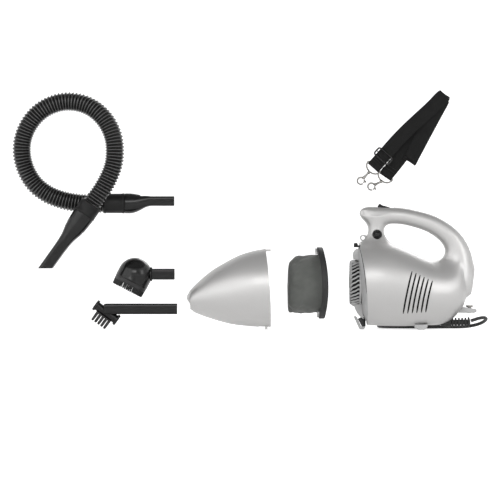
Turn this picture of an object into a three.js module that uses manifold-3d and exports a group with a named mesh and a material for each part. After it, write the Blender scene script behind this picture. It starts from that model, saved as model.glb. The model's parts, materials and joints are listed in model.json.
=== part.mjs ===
// A small hand-held canister vacuum cleaner with its kit, laid out side by side.
// Millimetres, +Z up. The nose points along -X. The origin is the middle of the foot's flat underside.
import * as THREE from 'three';
import { mergeVertices } from 'three/addons/utils/BufferGeometryUtils.js';
import Module from 'manifold-3d';

const wasm = await Module();
wasm.setup();

// ---------------------------------------------------------------- driving dimensions

const WALL = 2.5; // moulded housing wall
const CONE_WALL = 2; // moulded wall of the dust cone
const GAP = 0.3; // clearance between pieces that touch
const SEAM = 0.15; // half of the gap between the two housing halves
const FAR = 200; // longer than the body, for cutting tools
const AXIS_Z = 84.5; // height of the motor axis
const BODY_SIDES = 24;
const GRIP_SIDES = 12;

// The body between its lowest and its highest line, from the front rim to the tail.
const BODY = [
  { low: [-96.7, 8.1], high: [-110.3, 156.4], half: 71.5, lean: 2.1 },
  { low: [-66, 6.5], high: [-70, 158], half: 72.5, lean: 1.4 },
  { low: [-27, 6.1], high: [-33, 147], half: 70 },
  { low: [8.6, 8.1], high: [6.8, 129], half: 63 },
  { low: [32, 13.5], high: [30, 120.5], half: 56 },
  { low: [55, 24.5], high: [52, 112], half: 46 },
  { low: [77.9, 47.2], high: [72, 104], half: 33 },
  { low: [90, 71], high: [86, 97], half: 17 },
  { low: [95.5, 82], high: [94.5, 89], half: 4 },
];
const INNER_BODY_STATIONS = 7; // the hollow stops at the tail's third last station

// The loop handle's grip from its front tip to where it sinks into the body.
const GRIP = [
  { at: [-107.5, 207.5], thick: 2.5, wide: 3 },
  { at: [-103.5, 208], thick: 7.5, wide: 8 },
  { at: [-96, 207.2], thick: 11.5, wide: 12 },
  { at: [-84, 205.8], thick: 14.6, wide: 14.5 },
  { at: [-62, 205.4], thick: 15, wide: 15 },
  { at: [-34, 204.2], thick: 14.7, wide: 15 },
  { at: [-7, 198.5], thick: 15, wide: 15 },
  { at: [21, 189], thick: 15.8, wide: 15.2 },
  { at: [46, 172.5], thick: 17, wide: 16 },
  { at: [61.5, 153], thick: 19.5, wide: 17 },
  { at: [68.5, 130], thick: 24.5, wide: 19 },
  { at: [69.5, 108], thick: 27.5, wide: 22 },
  { at: [64, 86], thick: 28, wide: 24 },
];
const GRIP_STEPS = 15;
const HOLLOW_STEPS = 8;
const HOLLOW_GRIP_START = 3; // the front tip of the grip is solid

// The front post of the handle: height, middle, half-length and half-width.
const POST = [
  { z: 138, x: -79, long: 20, wide: 20 },
  { z: 156, x: -79.5, long: 17.5, wide: 16.5 },
  { z: 166, x: -80.4, long: 16, wide: 15 },
  { z: 176, x: -80.3, long: 14.2, wide: 14.5 },
  { z: 187, x: -79.8, long: 16, wide: 14.5 },
  { z: 199, x: -79, long: 20, wide: 13 },
];

const VENTS = { count: 6, width: 2.6, first: [[-18.4, 105.3], [-33.9, 29.5]], last: [[18.1, 88.2], [6.4, 31.9]] };
const SCREWS = [[0, 203.5], [80, 124], [-80, 20]]; // X and Z of the housing screws
const SCREW = { head: 3.4, headTop: 13, headSeat: 10.4, shank: 1.5, tip: -12, boss: 4.5, bore: 1.9, sink: 4 };

const BUTTON = { x: -78.7, z: 170.6, radius: 7.8, face: -16.6, back: -7, travel: 3 };
const SWITCH = { front: -77, back: -55.6, half: 5, floor: 215.5, travel: 6 };
const LATCH = { front: -120, back: -101, half: 6.5, low: 148, high: 155.6, bar: 151.5 };
const CHIN_HALF = 8; // half-width of the lower hook
const FOOT = { half: 25, chord: 11.8, flat: 5, height: 8 };
const MUZZLE = { radius: 41.5, front: -128, back: -113, ribs: 16, gap: 9, hub: 13, depth: 5 };

const FAN = { front: -94, back: -60, radius: 50, eye: 16, wheel: 46, blades: 6 };
const SHAFT = { radius: 4, front: -92, back: 21 };

const CONE_AT = [-269.5, 0, 4.1]; // lowest point of the cone's rim
const CONE = [
  { low: [0, 0], high: [-9.8, 141.7], half: 70.5, lean: 2.1 },
  { low: [-31, 1.3], high: [-33.5, 136.8], half: 68.5, lean: 1.4 },
  { low: [-65.1, 4.7], high: [-57.5, 129], half: 62.5 },
  { low: [-87.8, 9.6], high: [-82, 116.5], half: 55 },
  { low: [-112.5, 17.1], high: [-106.7, 101.4], half: 45 },
  { low: [-135.1, 25.6], high: [-127.6, 84.3], half: 34 },
  { low: [-143, 31.2], high: [-143.5, 68.5], half: 27 },
  { low: [-145.4, 32.4], high: [-149, 59.8], half: 22 },
];
const INNER_CONE_STATIONS = 7;
const MOUTH = { half: 17, low: 34.5, high: 50.5 };
const FLAP = { x: -136, top: 54.5, height: 20, half: 18, thick: 1.4, pin: 1.2 };

const FILTER_AT = [-180, 0, 83.7]; // middle of the filter ring
const RING = { outer: 64.4, inner: 57, thick: 6 };
const BAG = { front: -58, back: 0.5, wall: 2 };

const HOSE_RADIUS = 17;
const TUBE = { high: 17.8, wide: 30, wall: 2, radius: 4 }; // the flat tubes of the tools
// The hose from the adaptor's cuff round the loop to the nozzle's cuff.
const HOSE_ROUTE = [
  [-571.7, 16, 227.2], [-594, 16, 227], [-618, 15.5, 228.2], [-646, 14.5, 233.5], [-673, 13, 244.5],
  [-695, 11, 262], [-710, 9, 286], [-717.5, 7, 314], [-716, 5, 342], [-705, 3, 369], [-686, 1, 391],
  [-661, -1, 405], [-634, -3, 410], [-606, -6, 405.5], [-582, -9, 392], [-563.5, -12, 371],
  [-552.5, -15, 346], [-549.5, -17.5, 319], [-552.5, -19.5, 294], [-562, -21, 270], [-575, -22, 247.5],
  [-590.5, -22, 226],
];
const NOZZLE_DIRECTION = new THREE.Vector3(-0.583, 0, -0.812).normalize();

const CORD_RADIUS = 3;
// The mains lead from the strain relief, back and down to the floor, to the coil behind the body.
const CORD_ROUTE = [
  [90.7, 0, 15.6], [98, 0, 18], [106, 2, 20.4], [114, 8, 21.4], [119.5, 18, 20], [120, 30, 16.5],
  [115.5, 42, 12], [106, 52, 7.6], [92, 58.5, 4.4], [76, 61, 3.1], [58, 61.5, 3.1], [40, 61.5, 3.1],
  [22, 61.5, 3.1],
];
const COIL = { x: -15, y: 120, inner: 34.6, outer: 59.4, height: 24.4 };
const PLUG = {
  x: -15, z: 36, start: 122, length: 42, half: 17.5, thick: 7, pin: 2, pinLength: 19, pinGap: 9.3,
};
// The end of the lead from the top of the coil into the plug.
const TAIL_ROUTE = [[32, 112, 28], [25, 96, 29], [12, 88, 31.5], [-2, 91, 34.5], [-12, 103, 36], [-15, 115, 36]];

const BRUSH_AT = [-520, 0, 87.5]; // middle of the round brush's open rim
const BRUSH_AXIS = new THREE.Vector3(0.462, 0, 0.887).normalize();
const BRUSH = { radius: 30.6, wall: 2.5, straight: 12.5, band: 18.5, bandInner: 22, stemZ: 12 };

const CLAW_AT = [-565.5, 0, 30.3]; // middle of the small brush's head
const CLAW_DIRECTION = new THREE.Vector3(0.81, 0, -0.585).normalize();
const CLAW = { length: 40, disc: 10.5, discThick: 5, teeth: 5, toothLength: 26.2, toothHalf: 2.3 };

const WEB = { width: 25, thick: 2.2 };
const STRAP_START = new THREE.Vector3(-83.3, -6.9, 293.6);
const STRAP_DIRECTION = new THREE.Vector3(0.664, 0, 0.748).normalize();
const STRAP_LENGTH = 162;
const LOOP = { outer: 3.5, inner: 2, bar: 1.3 };
// Outline of the folded webbing behind the front run, X and Z.
const FOLDED = [
  [-70.5, 283.5], [-53.5, 272], [-35, 292.5], [-27, 307.5], [-10.5, 300.5], [24, 350], [51, 399],
  [55, 410], [53.5, 420], [44, 426.5], [34.5, 429.3], [26, 425], [-12, 382], [-42, 330],
];
const SECOND_END = new THREE.Vector3(-62, 0.2, 277.8);
const SECOND_DIRECTION = new THREE.Vector3(0.56, 0, 0.828).normalize();
const HOOK = { ring: 6.2, wire: 1.1, neck: 14.5, ringToEye: 24.5 };

// ---------------------------------------------------------------- materials

function finish(color, roughness, metalness = 0) {
  return new THREE.MeshStandardMaterial({ color, roughness, metalness });
}

const SILVER = finish(0xb8b9b7, 0.35, 0.6);
const PALE = finish(0xe6e6e4, 0.5);
const GLOSS_BLACK = finish(0x101112, 0.2);
const SATIN_BLACK = finish(0x18191a, 0.5);
const RUBBER = finish(0x1b1c1d, 0.8);
const CLOTH = finish(0x3a3f3c, 0.95);
const WEBBING = finish(0x161617, 0.95);
const STEEL = finish(0xa4a49f, 0.25, 1);
const BRASS = finish(0xb38a45, 0.3, 1);
const COPPER = finish(0x9c5a34, 0.4, 1);
const LAMINATION = finish(0x6c6e70, 0.55, 1);
const FIBRE = finish(0x2c2c2a, 0.9);

// ---------------------------------------------------------------- shapes and booleans

const vec = (x, y, z) => new THREE.Vector3(x, y, z);

/** Adds one named piece to a group. */
function piece(parent, name, shape, material) {
  const mesh = new THREE.Mesh(shape.isBufferGeometry ? shape : geometryOf(shape), material);
  mesh.name = name;
  parent.add(mesh);
  return mesh;
}

/** A closed mesh as a solid that can be joined and cut. */
function solid(geometry) {
  const bare = geometry.clone();
  bare.deleteAttribute('normal');
  bare.deleteAttribute('uv');
  const merged = mergeVertices(bare, 0.001);
  const triangles = [];
  const index = merged.index.array;
  for (let i = 0; i < index.length; i += 3) {
    const [a, b, c] = [index[i], index[i + 1], index[i + 2]];
    if (a !== b && b !== c && c !== a) {
      triangles.push(a, b, c);
    }
  }
  const vertProperties = merged.attributes.position.array;
  return new wasm.Manifold(new wasm.Mesh({ numProp: 3, vertProperties, triVerts: Uint32Array.from(triangles) }));
}

/** The triangles of a solid as a geometry. */
function geometryOf(shape) {
  const mesh = shape.getMesh();
  const geometry = new THREE.BufferGeometry();
  geometry.setAttribute('position', new THREE.BufferAttribute(mesh.vertProperties, 3));
  geometry.setIndex(new THREE.BufferAttribute(mesh.triVerts, 1));
  geometry.computeVertexNormals();
  return geometry;
}

/** Joins several geometries or solids into one solid. */
function join(...shapes) {
  return shapes.map(asSolid).reduce((whole, next) => whole.add(next));
}

function asSolid(shape) {
  return shape.isBufferGeometry ? solid(shape) : shape;
}

/** Cuts every tool out of a solid. */
function cut(body, ...tools) {
  return tools.map(asSolid).reduce((left, tool) => left.subtract(tool), asSolid(body));
}

/** A box between two corners. */
function block(low, high) {
  const size = high.map((value, i) => value - low[i]);
  const middle = high.map((value, i) => (value + low[i]) / 2);
  return new THREE.BoxGeometry(...size).translate(...middle);
}

/** A round bar, or a tapered one, between two points. */
function rod(from, to, radius, sides = 20, endRadius = radius) {
  const axis = to.clone().sub(from);
  const geometry = new THREE.CylinderGeometry(endRadius, radius, axis.length(), sides);
  geometry.translate(0, axis.length() / 2, 0);
  geometry.applyQuaternion(new THREE.Quaternion().setFromUnitVectors(vec(0, 1, 0), axis.normalize()));
  return geometry.translate(from.x, from.y, from.z);
}

/** A round tube or bar along a list of points, by extruding a polygon. */
function wire(points, radius, sides, steps) {
  const curve = new THREE.CatmullRomCurve3(points.map((p) => (p.isVector3 ? p : vec(...p))));
  const section = new THREE.Shape();
  for (let i = 0; i < sides; i += 1) {
    const angle = (2 * Math.PI * i) / sides;
    section[i === 0 ? 'moveTo' : 'lineTo'](radius * Math.cos(angle), radius * Math.sin(angle));
  }
  section.closePath();
  return new THREE.ExtrudeGeometry(section, { steps, curveSegments: 1, extrudePath: curve });
}

/** A turned piece about the X axis through the given centre; the profile holds [x, radius] pairs. */
function turned(profile, sides, centre = [0, 0, AXIS_Z]) {
  const points = profile.map(([x, radius]) => new THREE.Vector2(radius, x));
  const geometry = new THREE.LatheGeometry(points, sides);
  geometry.rotateZ(-Math.PI / 2);
  return solidTurned(geometry).translate(centre);
}

/** A turned geometry as a solid that faces outwards whichever way its profile runs. */
function solidTurned(geometry) {
  if (signedVolume(geometry) < 0) {
    flip(geometry);
  }
  return solid(geometry);
}

function signedVolume(geometry) {
  const position = geometry.attributes.position;
  const index = geometry.index.array;
  const corner = (k) => vec(position.getX(index[k]), position.getY(index[k]), position.getZ(index[k]));
  let total = 0;
  for (let i = 0; i < index.length; i += 3) {
    total += corner(i).dot(corner(i + 1).cross(corner(i + 2)));
  }
  return total / 6;
}

function flip(geometry) {
  const index = geometry.index.array;
  for (let i = 0; i < index.length; i += 3) {
    [index[i], index[i + 1]] = [index[i + 1], index[i]];
  }
}

/** A closed skin through rings of points: capped at both ends, or joined end to end as a ring. */
function loft(rings, joined = false) {
  const sides = rings[0].length;
  const vertices = rings.flat().flatMap((p) => [p.x, p.y, p.z]);
  const faces = [];
  const spans = joined ? rings.length : rings.length - 1;
  for (let r = 0; r < spans; r += 1) {
    const next = ((r + 1) % rings.length) * sides;
    for (let s = 0; s < sides; s += 1) {
      const t = (s + 1) % sides;
      faces.push(r * sides + s, r * sides + t, next + t, r * sides + s, next + t, next + s);
    }
  }
  if (!joined) {
    const last = (rings.length - 1) * sides;
    for (let s = 1; s < sides - 1; s += 1) {
      faces.push(0, s + 1, s, last, last + s, last + s + 1);
    }
  }
  const geometry = new THREE.BufferGeometry();
  geometry.setAttribute('position', new THREE.BufferAttribute(Float32Array.from(vertices), 3));
  geometry.setIndex(faces);
  return solidTurned(geometry);
}

/** One upright oval ring of the body or the cone, shrunk by inset. */
function ovalRing({ low, high, half, lean = 1 }, inset = 0, sides = BODY_SIDES) {
  const ring = [];
  for (let i = 0; i < sides; i += 1) {
    const angle = (2 * Math.PI * i) / sides;
    const height = (Math.sin(angle) + 1) / 2;
    const x = low[0] + (high[0] - low[0]) * height ** lean;
    const z = low[1] + inset + (high[1] - low[1] - 2 * inset) * height;
    ring.push(vec(x, (half - inset) * Math.cos(angle), z));
  }
  return ring;
}

/** The grip's rings, square to its middle line, shrunk by inset. */
function gripRings(stations, steps, inset = 0) {
  const line = new THREE.CatmullRomCurve3(stations.map(({ at }) => vec(at[0], 0, at[1])));
  const rings = [];
  for (let k = 0; k <= steps; k += 1) {
    const t = k / steps;
    const middle = line.getPoint(t);
    const along = line.getTangent(t);
    const across = vec(-along.z, 0, along.x);
    const place = t * (stations.length - 1);
    const before = Math.min(Math.floor(place), stations.length - 2);
    const mix = (key) => THREE.MathUtils.lerp(stations[before][key], stations[before + 1][key], place - before);
    const ring = [];
    for (let i = 0; i < GRIP_SIDES; i += 1) {
      const angle = (2 * Math.PI * i) / GRIP_SIDES;
      const point = middle.clone().addScaledVector(across, (mix('thick') - inset) * Math.sin(angle));
      ring.push(point.setY((mix('wide') - inset) * Math.cos(angle)));
    }
    rings.push(ring);
  }
  return rings;
}

/** The post's level rings, shrunk by inset. */
function postRings(inset = 0) {
  return POST.map(({ z, x, long, wide }) => {
    const ring = [];
    for (let i = 0; i < GRIP_SIDES; i += 1) {
      const angle = (2 * Math.PI * i) / GRIP_SIDES;
      ring.push(vec(x + (long - inset) * Math.cos(angle), (wide - inset) * Math.sin(angle), z));
    }
    return ring;
  });
}

// ---------------------------------------------------------------- housing

function housingOutside() {
  return join(loft(BODY.map((s) => ovalRing(s))), loft(gripRings(GRIP, GRIP_STEPS)), loft(postRings()));
}

function housingHollow() {
  const stations = BODY.slice(0, INNER_BODY_STATIONS).map((s) => ovalRing(s, WALL));
  const ahead = stations[0].map((p) => p.clone().setX(p.x - 10));
  const grip = gripRings(GRIP.slice(HOLLOW_GRIP_START), HOLLOW_STEPS, WALL);
  return join(loft([ahead, ...stations]), loft(grip), loft(postRings(WALL)));
}

/** One slot from its top to its bottom, cut straight across the body. */
function ventCutter(top, bottom) {
  const length = Math.hypot(top[0] - bottom[0], top[1] - bottom[1]);
  const lean = Math.atan2(top[0] - bottom[0], top[1] - bottom[1]);
  const slot = new THREE.BoxGeometry(VENTS.width, FAR, length).rotateY(lean);
  return slot.translate((top[0] + bottom[0]) / 2, 0, (top[1] + bottom[1]) / 2);
}

function ventCutters() {
  const cutters = [];
  for (let k = 0; k < VENTS.count; k += 1) {
    const share = k / (VENTS.count - 1);
    const blend = (a, b) => a.map((value, i) => THREE.MathUtils.lerp(value, b[i], share));
    cutters.push(ventCutter(blend(VENTS.first[0], VENTS.last[0]), blend(VENTS.first[1], VENTS.last[1])));
  }
  return cutters;
}

function switchPocket() {
  const { front, back, half, floor, travel } = SWITCH;
  return block([front - 1, -half - 1, floor - 4], [back + travel + 1, half + 1, floor + 20]);
}

function housing(group) {
  const outside = housingOutside();
  const hollow = housingHollow();
  const openings = [
    ...ventCutters(),
    switchPocket(),
    rod(vec(BUTTON.x, -FAR, BUTTON.z), vec(BUTTON.x, BUTTON.back + BUTTON.travel + 1, BUTTON.z),
      BUTTON.radius + 0.5, 28),
    block([-115, -2.9, 152], [-90, 2.9, 175]), // slit for the front strap lug
    block([-112, -LATCH.half - 1, 142], [-98, LATCH.half + 1, 158]), // notch for the latch
    rod(vec(52, 0, 12), vec(28, 0, 32), 5.4, 16), // way in for the mains lead
    block([58, -8.4, 28], [75, 8.4, 42.5]), // slit for the rear strap lug
  ];
  const shell = cut(outside, hollow, ...openings);
  for (const side of [-1, 1]) {
    const keep = side < 0
      ? block([-FAR, -FAR, -FAR], [FAR, -SEAM, 2 * FAR])
      : block([-FAR, SEAM, -FAR], [FAR, FAR, 2 * FAR]);
    const bosses = SCREWS.map(([x, z]) => rod(vec(x, side * FAR, z), vec(x, 0, z), SCREW.boss, 14));
    const posts = bosses.map((boss) => solid(boss).intersect(outside).intersect(solid(keep)));
    let half = join(shell.intersect(solid(keep)), ...posts);
    for (const [x, z] of SCREWS) {
      half = cut(half, rod(vec(x, -16, z), vec(x, 20, z), SCREW.bore, 12));
      if (side > 0) {
        half = cut(half, rod(vec(x, SCREW.headSeat - GAP, z), vec(x, FAR, z), SCREW.sink, 14));
      }
    }
    piece(group, side < 0 ? 'housing_near_half' : 'housing_far_half', half, SILVER);
  }
  SCREWS.forEach(([x, z], i) => {
    const head = rod(vec(x, SCREW.headSeat, z), vec(x, SCREW.headTop, z), SCREW.head, 14);
    const shank = rod(vec(x, SCREW.tip, z), vec(x, SCREW.headSeat + 1, z), SCREW.shank, 10);
    const slot = block([x - 2.6, SCREW.headTop - 1.2, z - 0.5], [x + 2.6, SCREW.headTop + 1, z + 0.5]);
    piece(group, `housing_screw_${i + 1}`, cut(join(head, shank), slot), STEEL);
  });
}

// ---------------------------------------------------------------- front of the body

/** The pale plate that closes the front: a shallow pan around the intake opening. */
function frontPlate(group) {
  const flange = { low: [-95.5, 11.2], high: [-107.5, 153], half: 68.3, lean: 2.1 };
  const rim = { low: [-96.7, 14.6], high: [-108.9, 149], half: 66.6, lean: 2.1 };
  const shoulder = { low: [-108.5, 20], high: [-118.5, 147], half: 62, lean: 1.5 };
  const face = { low: [-118, 36], high: [-121.5, 133], half: 48.5 };
  const mouth = { low: [-119, 41.8], high: [-120, 127.2], half: 42.7 };
  const front = [flange, rim, shoulder, face, mouth].map((s) => ovalRing(s));
  const back = front.map((ring) => ring.map((p) => p.clone().setX(p.x + 3))).reverse();
  const notch = block([-130, -12.5, 144], [-98, 12.5, 160]); // room for the latch and the cone's tabs
  const slot = block([-125, -CHIN_HALF - 4, 5], [-95, CHIN_HALF + 4, 24.5]);
  piece(group, 'front_plate', cut(loft([...front, ...back], true), notch, slot), PALE);
}

/** The drum-shaped intake grille: straight ribs round the side, turning in to radial slats in front. */
function intakeGrille(group) {
  const { radius, front, back, ribs, gap, hub, depth } = MUZZLE;
  const foot = turned([
    [back - 1, radius - depth], [back - 1, radius + 0.2], [back + 1, radius + 0.2],
    [back + 1, radius - depth], [back - 1, radius - depth],
  ], 40);
  const boss = turned([[front + 0.5, 0], [front + 0.5, hub], [front + 3, hub], [front + 3, 0]], 20);
  const width = (2 * Math.PI * radius) / ribs - gap;
  const slats = [];
  for (let k = 0; k < ribs; k += 1) {
    const outline = new THREE.Shape([
      [back, radius], [front + 3, radius], [front, radius - 4], [front + 0.5, hub - 2],
      [front + 2.8, hub - 2], [front + 3, radius - depth], [back, radius - depth],
    ].map(([x, r]) => new THREE.Vector2(x, r)));
    const slat = new THREE.ExtrudeGeometry(outline, { depth: width, bevelEnabled: false });
    slat.translate(0, 0, -width / 2).rotateX((2 * Math.PI * (k + 0.5)) / ribs);
    slats.push(slat.translate(0, 0, AXIS_Z));
  }
  const drum = join(foot, boss, ...slats);
  const taps = [[-121.5, 119.5], [-119.5, 49]].map(([x, z]) => rod(vec(x, -6, z), vec(x, 6, z), 5.2, 14));
  piece(group, 'intake_grille', join(drum, ...taps), PALE);
}

function latchAndButton(group) {
  const { x, z, radius, face, back } = BUTTON;
  const cap = rod(vec(x, face + 1, z), vec(x, back, z), radius, 28);
  const dome = rod(vec(x, face, z), vec(x, face + 1, z), radius - 1.2, 28, radius);
  const stem = rod(vec(x, back - 1, z), vec(x, 3, z), 3, 14);
  piece(group, 'release_button', join(dome, cap, stem), GLOSS_BLACK);
  const tooth = block([LATCH.front, -LATCH.half, LATCH.low], [LATCH.front + 7, LATCH.half, LATCH.high]);
  const bar = block([LATCH.front, -LATCH.half, LATCH.low], [LATCH.back, LATCH.half, LATCH.bar]);
  piece(group, 'latch_hook', join(tooth, bar), SATIN_BLACK);
}

/** The lower hook that the cone stands in, and the dark insert behind it. */
function chin(group) {
  const lip = new THREE.Shape([
    [-118.8, 23.6], [-109.5, 0.4], [-103, 0.4], [-99.5, 4.6], [-106, 4.6], [-115, 22.5],
  ].map(([x, z]) => new THREE.Vector2(x, z)));
  piece(group, 'lower_hook', sideExtrusion(lip, CHIN_HALF), PALE);
  const insert = new THREE.Shape([
    [-112.8, 19], [-105.6, 5], [-99.2, 5], [-99.2, 21], [-104, 23.8],
  ].map(([x, z]) => new THREE.Vector2(x, z)));
  piece(group, 'hinge_insert', sideExtrusion(insert, CHIN_HALF - 1), RUBBER);
}

/** An outline in X and Z, as thick as twice half, centred on the middle plane. */
function sideExtrusion(shape, half, middle = 0) {
  const geometry = new THREE.ExtrudeGeometry(shape, { depth: 2 * half, bevelEnabled: false, curveSegments: 12 });
  return geometry.rotateX(Math.PI / 2).translate(0, middle + half, 0);
}

// ---------------------------------------------------------------- small pieces on the body

function strapLugs(group) {
  const front = new THREE.Shape([
    [-91.5, 153.5], [-91.5, 168], [-104, 170.6], [-108.6, 167.5], [-108.6, 162], [-103.5, 158.6],
    [-103.5, 157.8],
    [-96, 153.5],
  ].map(([x, z]) => new THREE.Vector2(x, z)));
  const eye = rod(vec(-103.6, -FAR, 164.8), vec(-103.6, FAR, 164.8), 3.3, 16);
  piece(group, 'front_strap_lug', cut(sideExtrusion(front, 2.5), eye), PALE);
  const rear = new THREE.Shape([
    [59, 30], [95.7, 29.7], [100.6, 32], [100.2, 36.5], [70, 41.8], [59, 41.8],
  ].map(([x, z]) => new THREE.Vector2(x, z)));
  const hole = rod(vec(88, 0, 0), vec(88, 0, 80), 3.8, 16);
  piece(group, 'rear_strap_lug', cut(sideExtrusion(rear, 8), hole), PALE);
  const profile = [[0, 2.6], [0, 3.4], [10.9, 3.4], [10.9, 6], [14.9, 6], [14.9, 2.6], [0, 2.6]];
  const eyelet = turned(profile, 14, [0, 0, 0]).rotate([0, -90, 0]).translate([88, 0, 29.3]);
  piece(group, 'rear_eyelet', eyelet, STEEL);
}

function foot(group) {
  const { half, chord, flat, height } = FOOT;
  const outline = new THREE.Shape();
  outline.moveTo(-chord, height);
  outline.quadraticCurveTo(-chord + 2, 1.5, -flat, 0);
  outline.lineTo(flat, 0);
  outline.quadraticCurveTo(chord - 2, 1.5, chord, height);
  const pad = sideExtrusion(outline, half);
  const clear = loft(BODY.map((s) => ovalRing(s, -GAP)));
  piece(group, 'foot', cut(pad, clear), PALE);
}

function powerSwitch(group) {
  const { front, back, half, floor } = SWITCH;
  const slider = new THREE.Shape([
    [front, floor], [back, floor], [back, 219.8], [-69.5, 223.2], [-73.8, 225.7], [front, 222],
  ].map(([x, z]) => new THREE.Vector2(x, z)));
  piece(group, 'switch_slider', sideExtrusion(slider, half), SATIN_BLACK);
  piece(group, 'switch_module', block([-78, -7, 197], [-52, 7, 211]), FIBRE);
}

function strainRelief(group) {
  const z = 12.9;
  const wedge = loft([
    { x: 29, r: 1.2, z: 9.8 }, { x: 40, r: 4.6, z: 11.6 }, { x: 54, r: 7.4, z: 13 },
  ].map(({ x, r, z: height }) => circleRing(x, height, r)));
  const core = rod(vec(53, 0, z), vec(89.6, 0, 14.6), 4.4, 10);
  const ribs = [];
  const pitch = 5.9;
  for (let k = 0; k < 6; k += 1) {
    const x = 55 + pitch * k;
    ribs.push(rod(vec(x, 0, z), vec(x + 3, 0, z), k === 5 ? 8.9 : 8.2, 10));
  }
  const neck = rod(vec(48, 0, 14), vec(31, 0, 29.4), 4.4, 10);
  const bulk = cut(join(wedge, core, ...ribs), loft(BODY.map((s) => ovalRing(s, -GAP))));
  piece(group, 'strain_relief', join(bulk, neck), RUBBER);
}

function circleRing(x, z, radius, sides = 18) {
  const ring = [];
  for (let i = 0; i < sides; i += 1) {
    const angle = (2 * Math.PI * i) / sides;
    ring.push(vec(x, radius * Math.cos(angle), z + radius * Math.sin(angle)));
  }
  return ring;
}

// ---------------------------------------------------------------- motor and wiring

function motor(group) {
  const { front, back, radius, eye, wheel, blades } = FAN;
  const shroud = [
    [front, eye], [front, radius], [back, radius], [back, radius - 2],
    [front + 2, radius - 2], [front + 2, eye], [front, eye],
  ];
  piece(group, 'fan_shroud', turned(shroud, 28), SATIN_BLACK);
  const disc = turned([[-68, 4.3], [-68, wheel], [-66, wheel], [-66, 4.3], [-68, 4.3]], 24);
  const cover = turned([[-89, 18], [-89, wheel], [-87.5, wheel], [-87.5, 18], [-89, 18]], 24);
  const hub = turned([[-86, 4.3], [-86, 9], [-67, 12], [-67, 4.3], [-86, 4.3]], 14);
  const vanes = [];
  for (let k = 0; k < blades; k += 1) {
    const vane = block([-88, -0.7, 8], [-67, 0.7, wheel - 1]);
    vanes.push(vane.rotateX((2 * Math.PI * k) / blades).translate(0, 0, AXIS_Z));
  }
  const shaftHole = turned([[-95, 0], [-95, 4.3], [-60, 4.3], [-60, 0]], 14);
  piece(group, 'impeller', cut(join(disc, cover, hub, ...vanes), shaftHole), LAMINATION);
  const shaft = turned([
    [SHAFT.front, 0], [SHAFT.front, SHAFT.radius], [SHAFT.back, SHAFT.radius], [SHAFT.back, 0],
  ], 20);
  piece(group, 'motor_shaft', shaft, STEEL);
  const sleeve = (x0, x1, inner, outer, sides) => turned([
    [x0, inner], [x0, outer], [x1, outer], [x1, inner], [x0, inner],
  ], sides);
  piece(group, 'armature_core', sleeve(-38, -4, 4.3, 17, 22), COPPER);
  piece(group, 'commutator', sleeve(0, 10, 4.3, 11, 16), BRASS);
  piece(group, 'stator_core', sleeve(-40, -2, 17.8, 29, 24), LAMINATION);
  piece(group, 'front_bearing', sleeve(-56, -49, 4.3, 11, 16), STEEL);
  piece(group, 'rear_bearing', sleeve(12, 18, 4.3, 9, 16), STEEL);
  const bell = sleeve(-59.6, -56.4, 12, 49.5, 28);
  const seat = sleeve(-57, -48, 11.4, 14, 24);
  const legs = [-1, 1].map((side) => block([-57, side * 24 - 3, AXIS_Z - 5], [-40.4, side * 24 + 3, AXIS_Z + 5]));
  piece(group, 'front_bracket', join(bell, seat, ...legs), LAMINATION);
  const rearSeat = sleeve(12, 18, 9.4, 12, 24);
  const bridge = block([12, -28, AXIS_Z - 6], [16, 28, AXIS_Z + 6]);
  const arms = [-1, 1].map((side) => block([-1.6, side * 25 - 3, AXIS_Z - 6], [13, side * 25 + 3, AXIS_Z + 6]));
  const bore = turned([[0, 0], [0, 9.4], [25, 9.4], [25, 0]], 24);
  piece(group, 'rear_bracket', cut(join(rearSeat, bridge, ...arms), bore), LAMINATION);
  for (const side of [-1, 1]) {
    const [a, b] = [side * 11.4, side * 21.4].sort((p, q) => p - q);
    const carbon = block([1.5, a, AXIS_Z - 3.5], [8.5, b, AXIS_Z + 3.5]);
    piece(group, side < 0 ? 'carbon_brush_near' : 'carbon_brush_far', carbon, FIBRE);
  }
}

function wiring(group) {
  const lead = [
    [30, 0, 42], [46, 0, 46], [56, 0, 62], [60, 0, 84], [59, 0, 112], [57, 0, 134],
    [49, 0, 156], [32, 0, 174], [8, 0, 187.5], [-18, 0, 196], [-38, 0, 202], [-50, 0, 204],
  ];
  piece(group, 'switch_lead', wire(lead, 2.2, 6, 16), RUBBER);
}

// ---------------------------------------------------------------- mains lead, coil and plug

function mainsLead(group) {
  piece(group, 'power_cord', wire(CORD_ROUTE, CORD_RADIUS, 8, 22), RUBBER);
  const { x, y, inner, outer, height } = COIL;
  const profile = [[inner, 0.1], [outer, 0.1], [outer, height], [inner, height], [inner, 0.1]];
  const ring = new THREE.LatheGeometry(profile.map(([r, z]) => new THREE.Vector2(r, z)), 40);
  piece(group, 'cord_coil', solidTurned(ring.rotateX(Math.PI / 2)).translate([x, y, 0]), RUBBER);
  piece(group, 'cord_tail', wire(TAIL_ROUTE, CORD_RADIUS, 8, 10), RUBBER);
  plug(group);
}

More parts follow.
